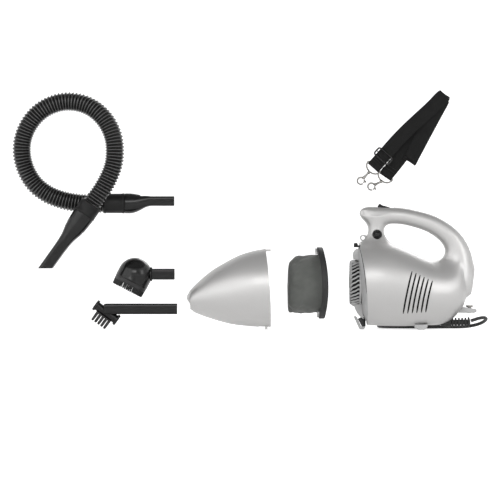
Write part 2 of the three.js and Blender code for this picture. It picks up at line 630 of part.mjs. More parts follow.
/** A flat two-pin contour plug lying on the coil, pins along +Y. */
function plug(group) {
  const { x, z, start, length, half, thick, pin, pinLength, pinGap } = PLUG;
  const oval = (y, wide, high) => {
    const ring = [];
    for (let i = 0; i < 20; i += 1) {
      const angle = (2 * Math.PI * i) / 20;
      ring.push(vec(x + wide * Math.cos(angle), y, z + high * Math.sin(angle)));
    }
    return ring;
  };
  const shell = loft([
    oval(start - 6, 4.2, 4.2), oval(start + 6, 7, 5.5),
    oval(start + 18, half, thick + 2), oval(start + length, half, thick + 3),
  ]);
  const seat = start + length + GAP;
  const pins = [-1, 1].map((side) => {
    const at = (y) => vec(x + side * pinGap, y, z);
    return rod(at(seat), at(seat + pinLength), pin, 12);
  });
  const carrier = block([x - pinGap - pin, seat, z - pin], [x + pinGap + pin, seat + 2, z + pin]);
  piece(group, 'plug_body', shell, RUBBER);
  piece(group, 'plug_pins', join(carrier, ...pins), BRASS);
}

// ---------------------------------------------------------------- nose cone

function noseCone(root) {
  const group = new THREE.Group();
  group.position.set(...CONE_AT);
  root.add(group);
  const outside = loft(CONE.map((s) => ovalRing(s)));
  const stations = CONE.slice(0, INNER_CONE_STATIONS).map((s) => ovalRing(s, CONE_WALL));
  const behind = stations[0].map((p) => p.clone().setX(p.x + 15));
  const mouth = block([-160, -MOUTH.half, MOUTH.low], [-130, MOUTH.half, MOUTH.high]);
  const topNotch = block([-21, -8, 125], [10, 8, 150]);
  const lowNotch = block([-22, -10.5, -3], [10, 10.5, 10]);
  const shell = cut(outside, loft([behind, ...stations]), mouth, topNotch, lowNotch);
  const tabs = [-1, 1].map((side) => block([-12, side * 10 - 1.6, 136.2], [0, side * 10 + 1.6, 140.2]));
  const lugs = [-1, 1].map((side) => block([-10.5, side * 13 - 1.8, -3.6], [-6, side * 13 + 1.8, 4.5]));
  piece(group, 'dust_cone', join(shell, ...tabs, ...lugs), SILVER);
  const leaf = block([FLAP.x, -FLAP.half, FLAP.top - FLAP.height], [FLAP.x + FLAP.thick, FLAP.half, FLAP.top]);
  const pin = rod(vec(FLAP.x + 0.7, -FLAP.half - 2, FLAP.top), vec(FLAP.x + 0.7, FLAP.half + 2, FLAP.top), FLAP.pin, 10);
  piece(group, 'mouth_flap', join(leaf, pin), RUBBER);
}

// ---------------------------------------------------------------- filter

/** How far the filter ring's rim bends back at a height above its middle. */
function ringBend(height) {
  const share = height / RING.outer;
  return 9.2 * (1 - share ** 2) - 2.4 * share;
}

/** A ring-shaped band bent like the body's rim, between two radii and two depths. */
function bentBand(inner, outer, from, to, sides = 36) {
  const corner = (radius, depth) => {
    const ring = [];
    for (let i = 0; i < sides; i += 1) {
      const angle = (2 * Math.PI * i) / sides;
      const z = radius * Math.sin(angle);
      ring.push(vec(depth + ringBend(z), radius * Math.cos(angle), z));
    }
    return ring;
  };
  return loft([corner(inner, from), corner(outer, from), corner(outer, to), corner(inner, to)], true);
}

function filter(root) {
  const group = new THREE.Group();
  group.position.set(...FILTER_AT);
  root.add(group);
  piece(group, 'filter_ring', bentBand(RING.inner, RING.outer, -3, RING.thick - 3), RUBBER);
  const bag = [
    { low: [-1.5, -53.5], high: [-7, 50], half: 50 },
    { low: [-20, -56], high: [-24, 51.5], half: 50 },
    { low: [-42, -56], high: [-44, 48.3], half: 47 },
    { low: [-54, -55], high: [-53, 41.3], half: 43 },
    { low: [BAG.front, -50], high: [-56.5, 34], half: 36 },
  ];
  const outside = loft(bag.map((s) => ovalRing(s, 0, 24)));
  const inside = bag.slice(0, 4).map((s) => ovalRing(s, BAG.wall, 24));
  const behind = inside[0].map((p) => p.clone().setX(p.x + 12));
  const rear = loft([ovalRing(bag[0], -6, 24), ovalRing(bag[0], -6, 24).map((p) => p.clone().setX(20))]);
  const clear = bentBand(40, RING.outer, -6.5, 12);
  piece(group, 'filter_bag', cut(outside, loft([behind, ...inside]), rear, clear), CLOTH);
}

// ---------------------------------------------------------------- hose and its ends

/** A rounded rectangle ring square to the X axis. */
function flatRing(x, y, z, wide, high, corner, sides = 24) {
  const ring = [];
  for (let i = 0; i < sides; i += 1) {
    const angle = (2 * Math.PI * (i + 0.5)) / sides;
    const power = corner;
    const c = Math.cos(angle);
    const s = Math.sin(angle);
    ring.push(vec(
      x,
      y + (wide / 2) * Math.sign(c) * Math.abs(c) ** power,
      z + (high / 2) * Math.sign(s) * Math.abs(s) ** power,
    ));
  }
  return ring;
}

function hoseSet(root) {
  const group = new THREE.Group();
  root.add(group);
  piece(group, 'hose', wire(HOSE_ROUTE, HOSE_RADIUS, 12, 30), SATIN_BLACK);
  const [startX, startY, startZ] = HOSE_ROUTE[0];
  const cuff = rod(vec(startX + GAP, startY, startZ), vec(-533, startY, startZ), 18.2, 28);
  piece(group, 'adaptor_cuff', cuff, SATIN_BLACK);
  adaptor(group, startY, startZ);
  nozzle(group);
}

function adaptor(group, y, z) {
  const pipeZ = 231.2;
  const rings = [
    [-532.6, 36, 36.4, z, 1], [-521, 36, 36.2, z, 1], [-508, 33, 30, z + 0.8, 0.85], [-494, 31, 21, pipeZ - 1, 0.6],
    [-486, TUBE.wide, TUBE.high, pipeZ, 0.4], [-445, TUBE.wide, TUBE.high, pipeZ, 0.4],
  ];
  const outside = loft(rings.map(([x, wide, high, height, power]) => flatRing(x, y, height, wide, high, power)));
  const bore = block([-484, y - TUBE.wide / 2 + 3, pipeZ - 6], [-440, y + TUBE.wide / 2 - 3, pipeZ + 6]);
  piece(group, 'hose_adaptor', cut(outside, bore), GLOSS_BLACK);
}

/** The crevice nozzle, modelled along -X and then turned down to its direction. */
function nozzle(group) {
  const [endX, endY, endZ] = HOSE_ROUTE[HOSE_ROUTE.length - 1];
  const turn = Math.atan2(-NOZZLE_DIRECTION.z, -NOZZLE_DIRECTION.x);
  const set = new THREE.Group();
  set.position.set(endX, endY, endZ);
  set.rotation.y = -turn;
  group.add(set);
  piece(set, 'nozzle_cuff', rod(vec(-GAP, 0, 0), vec(-24, 0, 0), 20.2, 28), SATIN_BLACK);
  const rings = [
    [-24.3, 37.5, 37.5, 0, 1], [-50, 35, 35, 0, 1], [-70, 35, 27.5, 0, 0.85], [-86, 36, 23, 0, 0.6],
    [-104, 37, 22, 0, 0.45], [-152, 38, 21.5, 0, 0.45],
  ];
  const outside = loft(rings.map(([x, wide, high, height, power]) => flatRing(x, 0, height, wide, high, power)));
  const slant = block([-60, -40, -30], [0, 40, 60]).rotateY(Math.PI / 2 - turn).translate(-134.8, 0, -11);
  const bore = block([-170, -15.5, -7.8], [-100, 15.5, 7.8]);
  piece(set, 'crevice_nozzle', cut(outside, slant, bore), GLOSS_BLACK);
}

// ---------------------------------------------------------------- brushes

function roundBrush(root) {
  const group = new THREE.Group();
  group.position.set(...BRUSH_AT);
  root.add(group);
  const { radius, wall, straight, band, bandInner, stemZ } = BRUSH;
  const dome = (r) => {
    const profile = [new THREE.Vector2(0, -1), new THREE.Vector2(r, -1), new THREE.Vector2(r, straight)];
    const steps = 5;
    for (let k = 1; k <= steps; k += 1) {
      const angle = (Math.PI / 2) * (k / steps);
      profile.push(new THREE.Vector2(k === steps ? 0 : r * Math.cos(angle), straight + r * Math.sin(angle)));
    }
    return new THREE.LatheGeometry(profile, 24);
  };
  const tilt = new THREE.Quaternion().setFromUnitVectors(vec(0, 1, 0), BRUSH_AXIS);
  const tilted = (geometry) => solidTurned(geometry.applyQuaternion(tilt));
  const cap = dome(radius);
  const hollow = dome(radius - wall).translate(0, -0.5, 0);
  const neck = rod(vec(12, 0, stemZ), vec(37, 0, stemZ), 12.5, 24);
  const socket = rod(vec(5, 0, stemZ), vec(50, 0, stemZ), 9.3, 20);
  const below = new THREE.CylinderGeometry(60, 60, 20, 24).translate(0, -10 + GAP, 0);
  const head = cut(join(tilted(cap), neck), tilted(hollow), socket, tilted(below));
  piece(group, 'brush_head', head, GLOSS_BLACK);
  const ringProfile = [[bandInner, 0], [radius, 0], [radius - 2, -band], [bandInner, -band], [bandInner, 0]];
  const ring = new THREE.LatheGeometry(ringProfile.map(([r, h]) => new THREE.Vector2(r, h)), 24);
  piece(group, 'brush_bristles', tilted(ring), FIBRE);
  const pipe = loft([37.4, 76.3].map((x) => flatRing(x, 0, stemZ, 28, 20, 0.4)));
  const spigot = rod(vec(22, 0, stemZ), vec(38, 0, stemZ), 9, 20);
  const bore = block([40, -11, stemZ - 7], [80, 11, stemZ + 7]);
  const throat = rod(vec(20, 0, stemZ), vec(45, 0, stemZ), 6.5, 16);
  piece(group, 'brush_tube', cut(join(pipe, spigot), bore, throat), GLOSS_BLACK);
}

function clawBrush(root) {
  const group = new THREE.Group();
  group.position.set(...CLAW_AT);
  root.add(group);
  const { length, disc, discThick, teeth, toothLength, toothHalf } = CLAW;
  const along = CLAW_DIRECTION;
  const down = vec(along.z, 0, -along.x);
  const at = (share) => along.clone().multiplyScalar(share * (length / 2));
  const bar = rod(at(-1), at(1), 8, 16);
  const discs = [-1, 1].map((side) => rod(at(side), at(side).addScaledVector(along, side * discThick), disc, 24));
  const tubeZ = 6.7;
  const tube = loft([-4, 122.5].map((x) => flatRing(x, 0, tubeZ, 24, 19.5, 0.4)));
  const bore = block([20, -9.5, tubeZ - 7], [130, 9.5, tubeZ + 7]);
  const barClear = join(
    rod(at(-1), at(1), 8 + GAP, 20),
    ...[-1, 1].map((side) => rod(
      at(side).addScaledVector(along, -side * GAP), at(side).addScaledVector(along, side * 14), disc + GAP, 24,
    )),
  );
  const trimmed = cut(tube, bore, barClear).decompose().sort((a, b) => b.volume() - a.volume())[0];
  piece(group, 'claw_tube', trimmed, GLOSS_BLACK);
  piece(group, 'claw_head', join(bar, ...discs), GLOSS_BLACK);
  const rack = [];
  const base = new THREE.Group();
  base.quaternion.setFromRotationMatrix(new THREE.Matrix4().makeBasis(along, vec(0, 1, 0), down.clone().negate()));
  base.updateMatrixWorld();
  const plate = block([-15.5, -7, -10], [15.5, 7, -7.5]).applyMatrix4(base.matrixWorld);
  for (let k = 0; k < teeth; k += 1) {
    const x = -13 + (26 * k) / (teeth - 1);
    const tooth = block([x - toothHalf, -6, -toothLength], [x + toothHalf, 6, -8]);
    rack.push(tooth.applyMatrix4(base.matrixWorld));
  }
  piece(group, 'claw_comb', cut(join(plate, ...rack), rod(at(-1.2), at(1.2), 8 + GAP, 20)), RUBBER);
}

// ---------------------------------------------------------------- shoulder strap

/** One run of webbing with a sewn loop at its start that holds a ring's bar. */
function webbingRun(start, direction, length) {
  const across = vec(direction.z, 0, -direction.x);
  const basis = new THREE.Matrix4().makeBasis(direction, vec(0, 1, 0), across.clone().negate());
  basis.setPosition(start);
  const plate = block([1, -WEB.thick / 2, -WEB.width / 2], [length, WEB.thick / 2, WEB.width / 2]).applyMatrix4(basis);
  const end = (reach) => start.clone().addScaledVector(across, reach);
  const loop = rod(end(-WEB.width / 2), end(WEB.width / 2), LOOP.outer, 16);
  const hole = rod(end(-WEB.width), end(WEB.width), LOOP.inner, 14);
  return cut(join(plate, loop), hole);
}

/** A D-ring whose straight bar lies in the webbing's loop. */
function deeRing(start, direction) {
  const across = vec(direction.z, 0, -direction.x);
  const place = (u, v) => start.clone().addScaledVector(across, u).addScaledVector(direction, -v);
  const half = WEB.width / 2 + 1.8;
  const bow = [];
  const steps = 8;
  for (let k = 0; k <= steps; k += 1) {
    const angle = (Math.PI * k) / steps;
    bow.push(place(half * Math.cos(angle), 13 * Math.sin(angle) ** 0.9));
  }
  const bar = rod(place(-half, 0), place(half, 0), LOOP.bar, 10);
  return { shape: join(bar, wire(bow, LOOP.bar, 6, 14)), tip: place(0, 13), place };
}

/** A snap hook that swivels in a collar on the D-ring: an open ring, its neck, and its gate. */
function snapHook(group, name, tip, centre) {
  const axis = centre.clone().sub(tip).normalize();
  const side = vec(axis.z, 0, -axis.x);
  const { ring, wire: thick } = HOOK;
  const onRing = (degrees) => {
    const angle = THREE.MathUtils.degToRad(degrees);
    return centre.clone().addScaledVector(axis, -ring * Math.cos(angle)).addScaledVector(side, ring * Math.sin(angle));
  };
  const arc = (from, to, count) => {
    const points = [];
    for (let k = 0; k <= count; k += 1) {
      points.push(onRing(from + ((to - from) * k) / count));
    }
    return points;
  };
  const neckStart = tip.clone().addScaledVector(axis, 5.2);
  const neck = rod(neckStart, centre.clone().addScaledVector(axis, -ring), 1.6, 10, 2.6);
  const hook = wire(arc(0, 262, 14), thick, 6, 18);
  piece(group, `${name}_hook`, join(neck, hook), STEEL);
  const gate = wire(arc(272, 338, 5), thick * 0.85, 6, 5);
  const lever = rod(onRing(318), onRing(318).addScaledVector(side, -4), 1.5, 8);
  piece(group, `${name}_gate`, join(gate, lever), STEEL);
  const collarAt = (reach) => tip.clone().addScaledVector(axis, reach);
  return rod(collarAt(0), collarAt(4.8), 2.6, 12);
}

function strap(root) {
  const group = new THREE.Group();
  root.add(group);
  const across = vec(STRAP_DIRECTION.z, 0, -STRAP_DIRECTION.x);
  piece(group, 'webbing_front_run', webbingRun(STRAP_START, STRAP_DIRECTION, STRAP_LENGTH), WEBBING);
  const outline = new THREE.Shape(FOLDED.map(([x, z]) => new THREE.Vector2(x, z)));
  const bundle = sideExtrusion(outline, 3.6, 0.2);
  const tail = webbingRun(SECOND_END, SECOND_DIRECTION, 30);
  const loopHole = rod(
    SECOND_END.clone().add(vec(-20 * SECOND_DIRECTION.z, 0, 20 * SECOND_DIRECTION.x)),
    SECOND_END.clone().add(vec(20 * SECOND_DIRECTION.z, 0, -20 * SECOND_DIRECTION.x)), LOOP.inner, 14,
  );
  piece(group, 'webbing_folded', cut(join(bundle, tail), loopHole), WEBBING);
  const basis = new THREE.Matrix4().makeBasis(STRAP_DIRECTION, vec(0, 1, 0), across.clone().negate());
  basis.setPosition(STRAP_START.clone().addScaledVector(STRAP_DIRECTION, 24));
  const outer = WEB.width / 2 + 4;
  const inner = WEB.width / 2 + 1;
  const sides = [-1, 1].map((s) => {
    const [low, high] = [s * inner, s * outer].sort((a, b) => a - b);
    return block([-9, -4.2, low], [9, 2.9, high]);
  });
  const ends = [-1, 1].map((s) => block([s * 7.6 - 1.4, -4.2, -outer], [s * 7.6 + 1.4, -1.8, outer]));
  const middle = block([-1.5, 1.7, -outer], [1.5, 2.9, outer]);
  piece(group, 'tri_glide', join(...sides, ...ends, middle).transform(basis.elements), SATIN_BLACK);
  const ends3d = [
    { name: 'snap_a', start: STRAP_START, direction: STRAP_DIRECTION, centre: vec(-107.8, -6.9, 267.3) },
    { name: 'snap_b', start: SECOND_END, direction: SECOND_DIRECTION, centre: vec(-88.6, 0.2, 257.2) },
  ];
  for (const { name, start, direction, centre } of ends3d) {
    const ring = deeRing(start, direction);
    const collar = snapHook(group, name, ring.tip, centre);
    piece(group, `${name}_ring`, join(ring.shape, collar), STEEL);
  }
}

// ---------------------------------------------------------------- assembly

const group = new THREE.Group();
housing(group);
frontPlate(group);
intakeGrille(group);
latchAndButton(group);
chin(group);
strapLugs(group);
foot(group);
powerSwitch(group);
strainRelief(group);
motor(group);
wiring(group);
mainsLead(group);
noseCone(group);
filter(group);
hoseSet(group);
roundBrush(group);
clawBrush(group);
strap(group);

export default group;
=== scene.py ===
"""The look of a small canister vacuum cleaner with its kit laid out beside it.

Shapes are written in millimetres, as in the CAD, and become metres when a mesh is made.
"""
import json
import math
import random

import bmesh
import bpy
import numpy as np
from mathutils import Matrix, Vector, noise


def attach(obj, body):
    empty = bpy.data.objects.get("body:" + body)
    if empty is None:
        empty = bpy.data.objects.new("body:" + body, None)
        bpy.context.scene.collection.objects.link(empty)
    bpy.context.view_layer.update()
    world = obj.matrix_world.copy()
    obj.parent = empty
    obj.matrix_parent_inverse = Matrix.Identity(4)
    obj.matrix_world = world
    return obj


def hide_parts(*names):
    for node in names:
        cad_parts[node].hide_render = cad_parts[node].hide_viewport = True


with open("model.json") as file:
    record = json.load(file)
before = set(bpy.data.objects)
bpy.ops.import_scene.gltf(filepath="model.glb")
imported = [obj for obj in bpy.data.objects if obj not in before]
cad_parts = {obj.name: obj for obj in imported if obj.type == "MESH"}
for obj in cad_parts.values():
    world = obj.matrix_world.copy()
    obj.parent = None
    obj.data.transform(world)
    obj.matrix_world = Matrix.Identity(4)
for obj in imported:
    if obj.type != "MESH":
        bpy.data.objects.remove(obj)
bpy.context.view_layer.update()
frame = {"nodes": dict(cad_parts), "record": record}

MM = 0.001
SEED = 11

# ---------------------------------------------------------------- driving dimensions

AXIS_Z = 84.5
WALL = 2.5
SEAM = 0.2

# The body from the front rim to the tail: lowest and highest point, half-width, lean of the ring.
BODY = [
    ((-96.7, 8.1), (-110.3, 156.4), 71.5, 2.1),
    ((-66, 6.5), (-70, 158), 72.5, 1.4),
    ((-27, 6.1), (-33, 147), 70, 1),
    ((8.6, 8.1), (6.8, 129), 63, 1),
    ((32, 13.5), (30, 120.5), 56, 1),
    ((55, 24.5), (52, 112), 46, 1),
    ((73.5, 44.5), (68, 104), 32, 1),
    ((79.5, 62), (74, 96), 16, 1),
    ((82, 75), (79, 86), 4, 1),
]

# The loop handle: middle of the grip (X, Z), half-thickness and half-width.
GRIP = [
    ((-104, 209.4), 5.4, 6.5),
    ((-100.5, 209.1), 9.2, 9.8),
    ((-94, 208.1), 12.8, 12.8),
    ((-84, 206.4), 14.8, 14.5),
    ((-62, 205.4), 15, 15),
    ((-34, 204.2), 14.7, 15),
    ((-7, 198.5), 15, 15),
    ((21, 189), 15.8, 15.2),
    ((46, 172.5), 17, 16),
    ((61.5, 153), 19.5, 17),
    ((68, 130), 23.8, 19),
    ((69.3, 108), 26, 22),
    ((65, 88), 26.6, 24),
    ((57, 72), 26, 25),
    ((47, 56), 25.2, 25),
    ((36, 43), 24, 24),
]

# The front post of the handle: height, middle, half-length and half-width.
POST = [
    (138, -79, 15.5, 17),
    (156, -79.7, 15.2, 15.5),
    (166, -80.4, 15, 15),
    (176, -80.3, 14, 14.5),
    (187, -79.8, 15, 14.5),
    (199, -79, 17, 13),
]

VENTS = 6
VENT_WIDTH = 3.2
VENT_BOW = 1.6
FIRST_VENT = ((-18.4, 105.3), (-33.9, 29.5))
LAST_VENT = ((18.1, 88.2), (6.4, 31.9))
BUTTON = (-78.7, 170.6)
BUTTON_RADIUS = 7.8
SCREWS = [(0, 203.5), (80, 124), (-80, 20)]

CONE_AT = (-269.5, 0, 4.1)
CONE = [
    ((0, 0), (-9.8, 141.7), 70.5, 2.1),
    ((-31, 1.3), (-33.5, 136.8), 68.5, 1.4),
    ((-65.1, 4.7), (-57.5, 129), 62.5, 1),
    ((-87.8, 9.6), (-82, 116.5), 55, 1),
    ((-112.5, 17.1), (-106.7, 101.4), 45, 1),
    ((-135.1, 25.6), (-127.6, 84.3), 34, 1),
    ((-143, 31.2), (-143.5, 68.5), 27, 1),
    ((-145.4, 32.4), (-149, 59.8), 22, 1),
]

# ---------------------------------------------------------------- shapes

CLOSED = 0.02  # radius of a turned end that comes to a point

class Shape:
    """Points, faces and, where a weave needs them, texture coordinates."""

    def __init__(self):
        self.points = []
        self.faces = []
        self.uvs = {}

    def add(self, other):
        base = len(self.points)
        self.points += other.points
        self.faces += [tuple(base + i for i in face) for face in other.faces]
        self.uvs.update({base + i: uv for i, uv in other.uvs.items()})
        return self

    def moved(self, matrix):
        self.points = [matrix @ Vector(p) for p in self.points]
        return self


def merged(shapes):
    whole = Shape()
    for shape in shapes:
        whole.add(shape)
    return whole


def loft(rings, joined=False):
    """A skin through rings of points, closed at both ends or joined end to end."""
    shape = Shape()
    sides = len(rings[0])
    for ring in rings:
        shape.points += [Vector(p) for p in ring]
    spans = len(rings) if joined else len(rings) - 1
    for r in range(spans):
        near = r * sides
        far = ((r + 1) % len(rings)) * sides
        for s in range(sides):
            t = (s + 1) % sides
            shape.faces.append((near + s, near + t, far + t, far + s))
    if not joined:
        last = (len(rings) - 1) * sides
        shape.faces.append(tuple(range(sides - 1, -1, -1)))
        shape.faces.append(tuple(range(last, last + sides)))
    return shape


def circle(sides, offset=0.0):
    """The cosine and sine of every step round a circle."""
    angles = [2 * math.pi * (i + offset) / sides for i in range(sides)]
    return [(math.cos(angle), math.sin(angle)) for angle in angles]


def turned(profile, sides=48, at=(0, 0, AXIS_Z), axis=(1, 0, 0), joined=False):
    """A turned piece: the profile holds pairs of distance along the axis and radius."""
    axis = Vector(axis).normalized()
    side = axis.orthogonal().normalized()
    other = axis.cross(side)
    rings = []
    for along, radius in profile:
        centre = Vector(at) + axis * along
        rings.append([centre + (side * c + other * s) * max(radius, CLOSED) for c, s in circle(sides)])
    return loft(rings, joined=joined)


def rod(start, end, radius, sides=32, edge=0.0, end_radius=None):
    """A round bar with its rims rounded off by edge."""
    start, end = Vector(start), Vector(end)
    length = (end - start).length
    end_radius = radius if end_radius is None else end_radius
    profile = [(0, radius), (length, end_radius)]
    if edge:
        profile = rounded_ends(length, radius, end_radius, edge)
    return turned(profile, sides, start, end - start)


def rounded_ends(length, radius, end_radius, edge, steps=4):
    near, far = [], []
    for k in range(steps + 1):
        angle = math.pi / 2 * k / steps
        along, inset = edge * (1 - math.cos(angle)), edge * (1 - math.sin(angle))
        near.append((along, radius - inset))
        far.append((length - along, end_radius - inset))
    return near + far[::-1]


def spline(points, steps):
    """A smooth line through points of any number of coordinates."""
    line = []
    count = len(points)
    for i in range(count - 1):
        a, b, c, d = (points[min(max(i + k, 0), count - 1)] for k in (-1, 0, 1, 2))
        for s in range(steps):
            t = s / steps
            line.append([catmull(*values, t) for values in zip(a, b, c, d)])
    line.append(list(points[-1]))
    return line


def catmull(a, b, c, d, t):
    straight = 2 * b + (c - a) * t
    curved = (2 * a - 5 * b + 4 * c - d) * t * t + (3 * b - a - 3 * c + d) * t ** 3
    return 0.5 * (straight + curved)


def mix(a, b, share):
    return a + (b - a) * share


def even(points, gap):
    """The same line with points an even distance apart."""
    points = [Vector(p) for p in points]
    total = sum((b - a).length for a, b in zip(points, points[1:]))
    count = max(2, round(total / gap))
    step = total / count
    line = [points[0]]
    run = 0.0
    for a, b in zip(points, points[1:]):
        length = (b - a).length
        while length and run + length >= step * len(line) and len(line) < count:
            line.append(a.lerp(b, (step * len(line) - run) / length))
        run += length
    line.append(points[-1])
    return line


def sweep_frames(line):
    """Every point of a line and two directions square to it, without twist."""
    frames = []
    side = None
    for i, point in enumerate(line):
        ahead = line[min(i + 1, len(line) - 1)] - line[max(i - 1, 0)]
        ahead.normalize()
        side = ahead.orthogonal() if side is None else side - ahead * side.dot(ahead)
        side.normalize()
        frames.append((point, side.copy(), ahead.cross(side)))
    return frames


def tube(line, radii, sides=16):
    """A round tube along a line; radii is one number, or one for every point."""
    line = [Vector(p) for p in line]
    if not isinstance(radii, list):
        radii = [radii] * len(line)
    rings = []
    for radius, (point, side, other) in zip(radii, sweep_frames(line)):
        rings.append([point + side * radius * c + other * radius * s for c, s in circle(sides)])
    return loft(rings)


def side_cut(outline, half, middle=0):
    """An outline in X and Z, as thick as twice half."""
    return loft([[(x, middle - half, z) for x, z in outline], [(x, middle + half, z) for x, z in outline]])


def block(low, high):
    (x0, y0, z0), (x1, y1, z1) = low, high
    return side_cut([(x0, z0), (x1, z0), (x1, z1), (x0, z1)], (y1 - y0) / 2, (y0 + y1) / 2)


def squared(value, power):
    """A cosine or a sine for an outline that is round at power 1, and squarer as the power falls."""
    return math.copysign(abs(value) ** power, value)


def superellipse(x, y, z, wide, high, power, sides=48):
    """A ring square to X."""
    return [Vector((x, y + squared(c, power) * wide / 2, z + squared(s, power) * high / 2))
            for c, s in circle(sides, 0.5)]


def place_along(start, direction):
    """Local X runs along the direction, Y away from the viewer and Z square to both."""
    direction = direction.normalized()
    place = Matrix((direction, (0, 1, 0), (-direction.z, 0, direction.x))).transposed().to_4x4()
    place.translation = start
    return place


# ---------------------------------------------------------------- meshes

SAME_POINT = 0.0005  # points nearer than this become one

def linked(name, data):
    """A new object that is in the scene."""
    obj = bpy.data.objects.new(name, data)
    bpy.context.collection.objects.link(obj)
    return obj


def mesh_object(name, shape, material=None):
    """A mesh object in metres from a shape in millimetres, faces turned outwards."""
    mesh = bpy.data.meshes.new(name)
    mesh.from_pydata([Vector(p) * MM for p in shape.points], [], shape.faces)
    mesh.validate()
    if shape.uvs:
        layer = mesh.uv_layers.new(name="weave")
        for loop in mesh.loops:
            layer.data[loop.index].uv = shape.uvs.get(loop.vertex_index, (0, 0))
    work = bmesh.new()
    work.from_mesh(mesh)
    if not shape.uvs:
        bmesh.ops.remove_doubles(work, verts=work.verts, dist=SAME_POINT * MM)
    bmesh.ops.recalc_face_normals(work, faces=work.faces)
    work.to_mesh(mesh)
    work.free()
    if material:
        mesh.materials.append(material)
    return linked(name, mesh)


def bake(obj):
    """Applies the modifiers of an object."""
    graph = bpy.context.evaluated_depsgraph_get()
    mesh = bpy.data.meshes.new_from_object(obj.evaluated_get(graph))
    obj.modifiers.clear()
    obj.data = mesh
    return obj


def carve(obj, cutters, operation="DIFFERENCE"):
    """Cuts shapes out of an object, or joins them to it, one after the other."""
    for shape in cutters:
        tool = mesh_object("cutter", shape)
        modifier = obj.modifiers.new("carve", "BOOLEAN")
        modifier.operation = operation
        modifier.solver = "MANIFOLD"
        modifier.object = tool
        bake(obj)
        bpy.data.objects.remove(tool)
    return obj


def bevel(obj, width):
    """Rounds the sharp edges."""
    modifier = obj.modifiers.new("bevel", "BEVEL")
    modifier.width = width * MM
    modifier.segments = 2
    modifier.limit_method = "ANGLE"
    modifier.angle_limit = math.radians(35)
    modifier.harden_normals = False
    return bake(obj)


def smooth(obj, angle=35):
    """Smooth shading that keeps real edges crisp."""
    mesh = obj.data
    mesh.polygons.foreach_set("use_smooth", [True] * len(mesh.polygons))
    mesh.set_sharp_from_angle(angle=math.radians(angle))
    return obj


def seat(obj, body, replaces=()):
    """Ties a finished piece to its CAD body and the nodes it stands for."""
    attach(obj, body)
    if replaces:
        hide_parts(*replaces)
    return obj


def build(name, shape, body, slot, replaces=(), edge=0.0, angle=35, joins=(), cutters=()):
    """One rigid piece from start to finish: joined, cut, its edges rounded, shaded and seated."""
    obj = mesh_object(name, shape, MATERIALS[slot])
    carve(obj, joins, "UNION")
    carve(obj, cutters)
    if edge:
        bevel(obj, edge)
    smooth(obj, angle)
    return seat(obj, body, replaces)


# ---------------------------------------------------------------- materials


class Paint:
    """Builds one node material; every helper returns the output socket of the node it adds."""

    def __init__(self, name):
        self.material = bpy.data.materials.new(name)
        self.material.use_nodes = True
        self.tree = self.material.node_tree
        self.shader = self.tree.nodes["Principled BSDF"]
        place = self.tree.nodes.new("ShaderNodeTexCoord")
        self.place = place.outputs["Object"]
        self.weave = place.outputs["UV"]

    def set(self, **values):
        for key, value in values.items():
            self.shader.inputs[key.replace("_", " ")].default_value = value
        return self

    def link(self, socket, name):
        self.tree.links.new(socket, self.shader.inputs[name])
        return self

    def node(self, kind, inputs=(), **settings):
        node = self.tree.nodes.new(kind)
        for key, value in settings.items():
            setattr(node, key, value)
        for key, value in dict(inputs).items():
            if isinstance(value, bpy.types.NodeSocket):
                self.tree.links.new(value, node.inputs[key])
            else:
                node.inputs[key].default_value = value
        return node

    def texture(self, kind, output, place, inputs, **settings):
        inputs["Vector"] = place or self.place
        return self.node(kind, inputs, **settings).outputs[output]

    def noise(self, scale, detail=3, roughness=0.5, place=None):
        inputs = {"Scale": scale, "Detail": detail, "Roughness": roughness}
        return self.texture("ShaderNodeTexNoise", "Fac", place, inputs)

    def cells(self, scale):
        return self.texture("ShaderNodeTexVoronoi", "Distance", None, {"Scale": scale})

    def waves(self, scale, direction="X", place=None, distortion=0.0):
        inputs = {"Scale": scale, "Distortion": distortion}
        return self.texture("ShaderNodeTexWave", "Fac", place, inputs, bands_direction=direction)

    def stretched(self, factors):
        return self.texture("ShaderNodeMapping", "Vector", None, {"Scale": factors})

    def spread(self, value, low, high):
        inputs = {"Value": value, "To Min": low, "To Max": high}
        return self.node("ShaderNodeMapRange", inputs).outputs["Result"]

    def ramp(self, value, low, high, start=0.3, end=0.7):
        node = self.node("ShaderNodeValToRGB", {"Fac": value})
        stops = node.color_ramp.elements
        stops[0].position, stops[0].color = start, (*low, 1)
        stops[1].position, stops[1].color = end, (*high, 1)
        return node.outputs["Color"]

    def product(self, a, b, operation="MULTIPLY"):
        node = self.node("ShaderNodeMath", operation=operation)
        self.tree.links.new(a, node.inputs[0])
        self.tree.links.new(b, node.inputs[1])
        return node.outputs["Value"]

    def bump(self, height, strength, distance, under=None):
        inputs = {"Height": height, "Strength": strength, "Distance": distance}
        if under:
            inputs["Normal"] = under
        return self.node("ShaderNodeBump", inputs).outputs["Normal"]

    def color(self, low, high, scale, detail=3):
        return self.link(self.ramp(self.noise(scale, detail), low, high), "Base Color")

    def rough(self, low, high, scale, detail=4):
        return self.link(self.spread(self.noise(scale, detail), low, high), "Roughness")

    def grain(self, scale, strength, distance, detail=3):
        return self.link(self.bump(self.noise(scale, detail), strength, distance), "Normal")


def gray(value, warm=0.0):
    return (value * (1 + warm), value, value * (1 - warm))


def silver_paint(name, tone):
    """Metallic silver lacquer: fine flakes under a clear coat, rubbed a little unevenly."""
    paint = Paint(name)
    paint.set(Metallic=0.72, Coat_Weight=0.25, Coat_Roughness=0.22)
    flakes = paint.cells(2600)
    paint.link(paint.ramp(flakes, gray(tone * 0.78, 0.012), gray(tone * 0.9, 0.008), 0.1, 0.9), "Base Color")
    paint.rough(0.38, 0.48, 14)
    skin = paint.bump(paint.noise(260, 2), 0.05, 0.0004)
    paint.link(paint.bump(flakes, 0.12, 0.00006, skin), "Normal")
    return paint.material


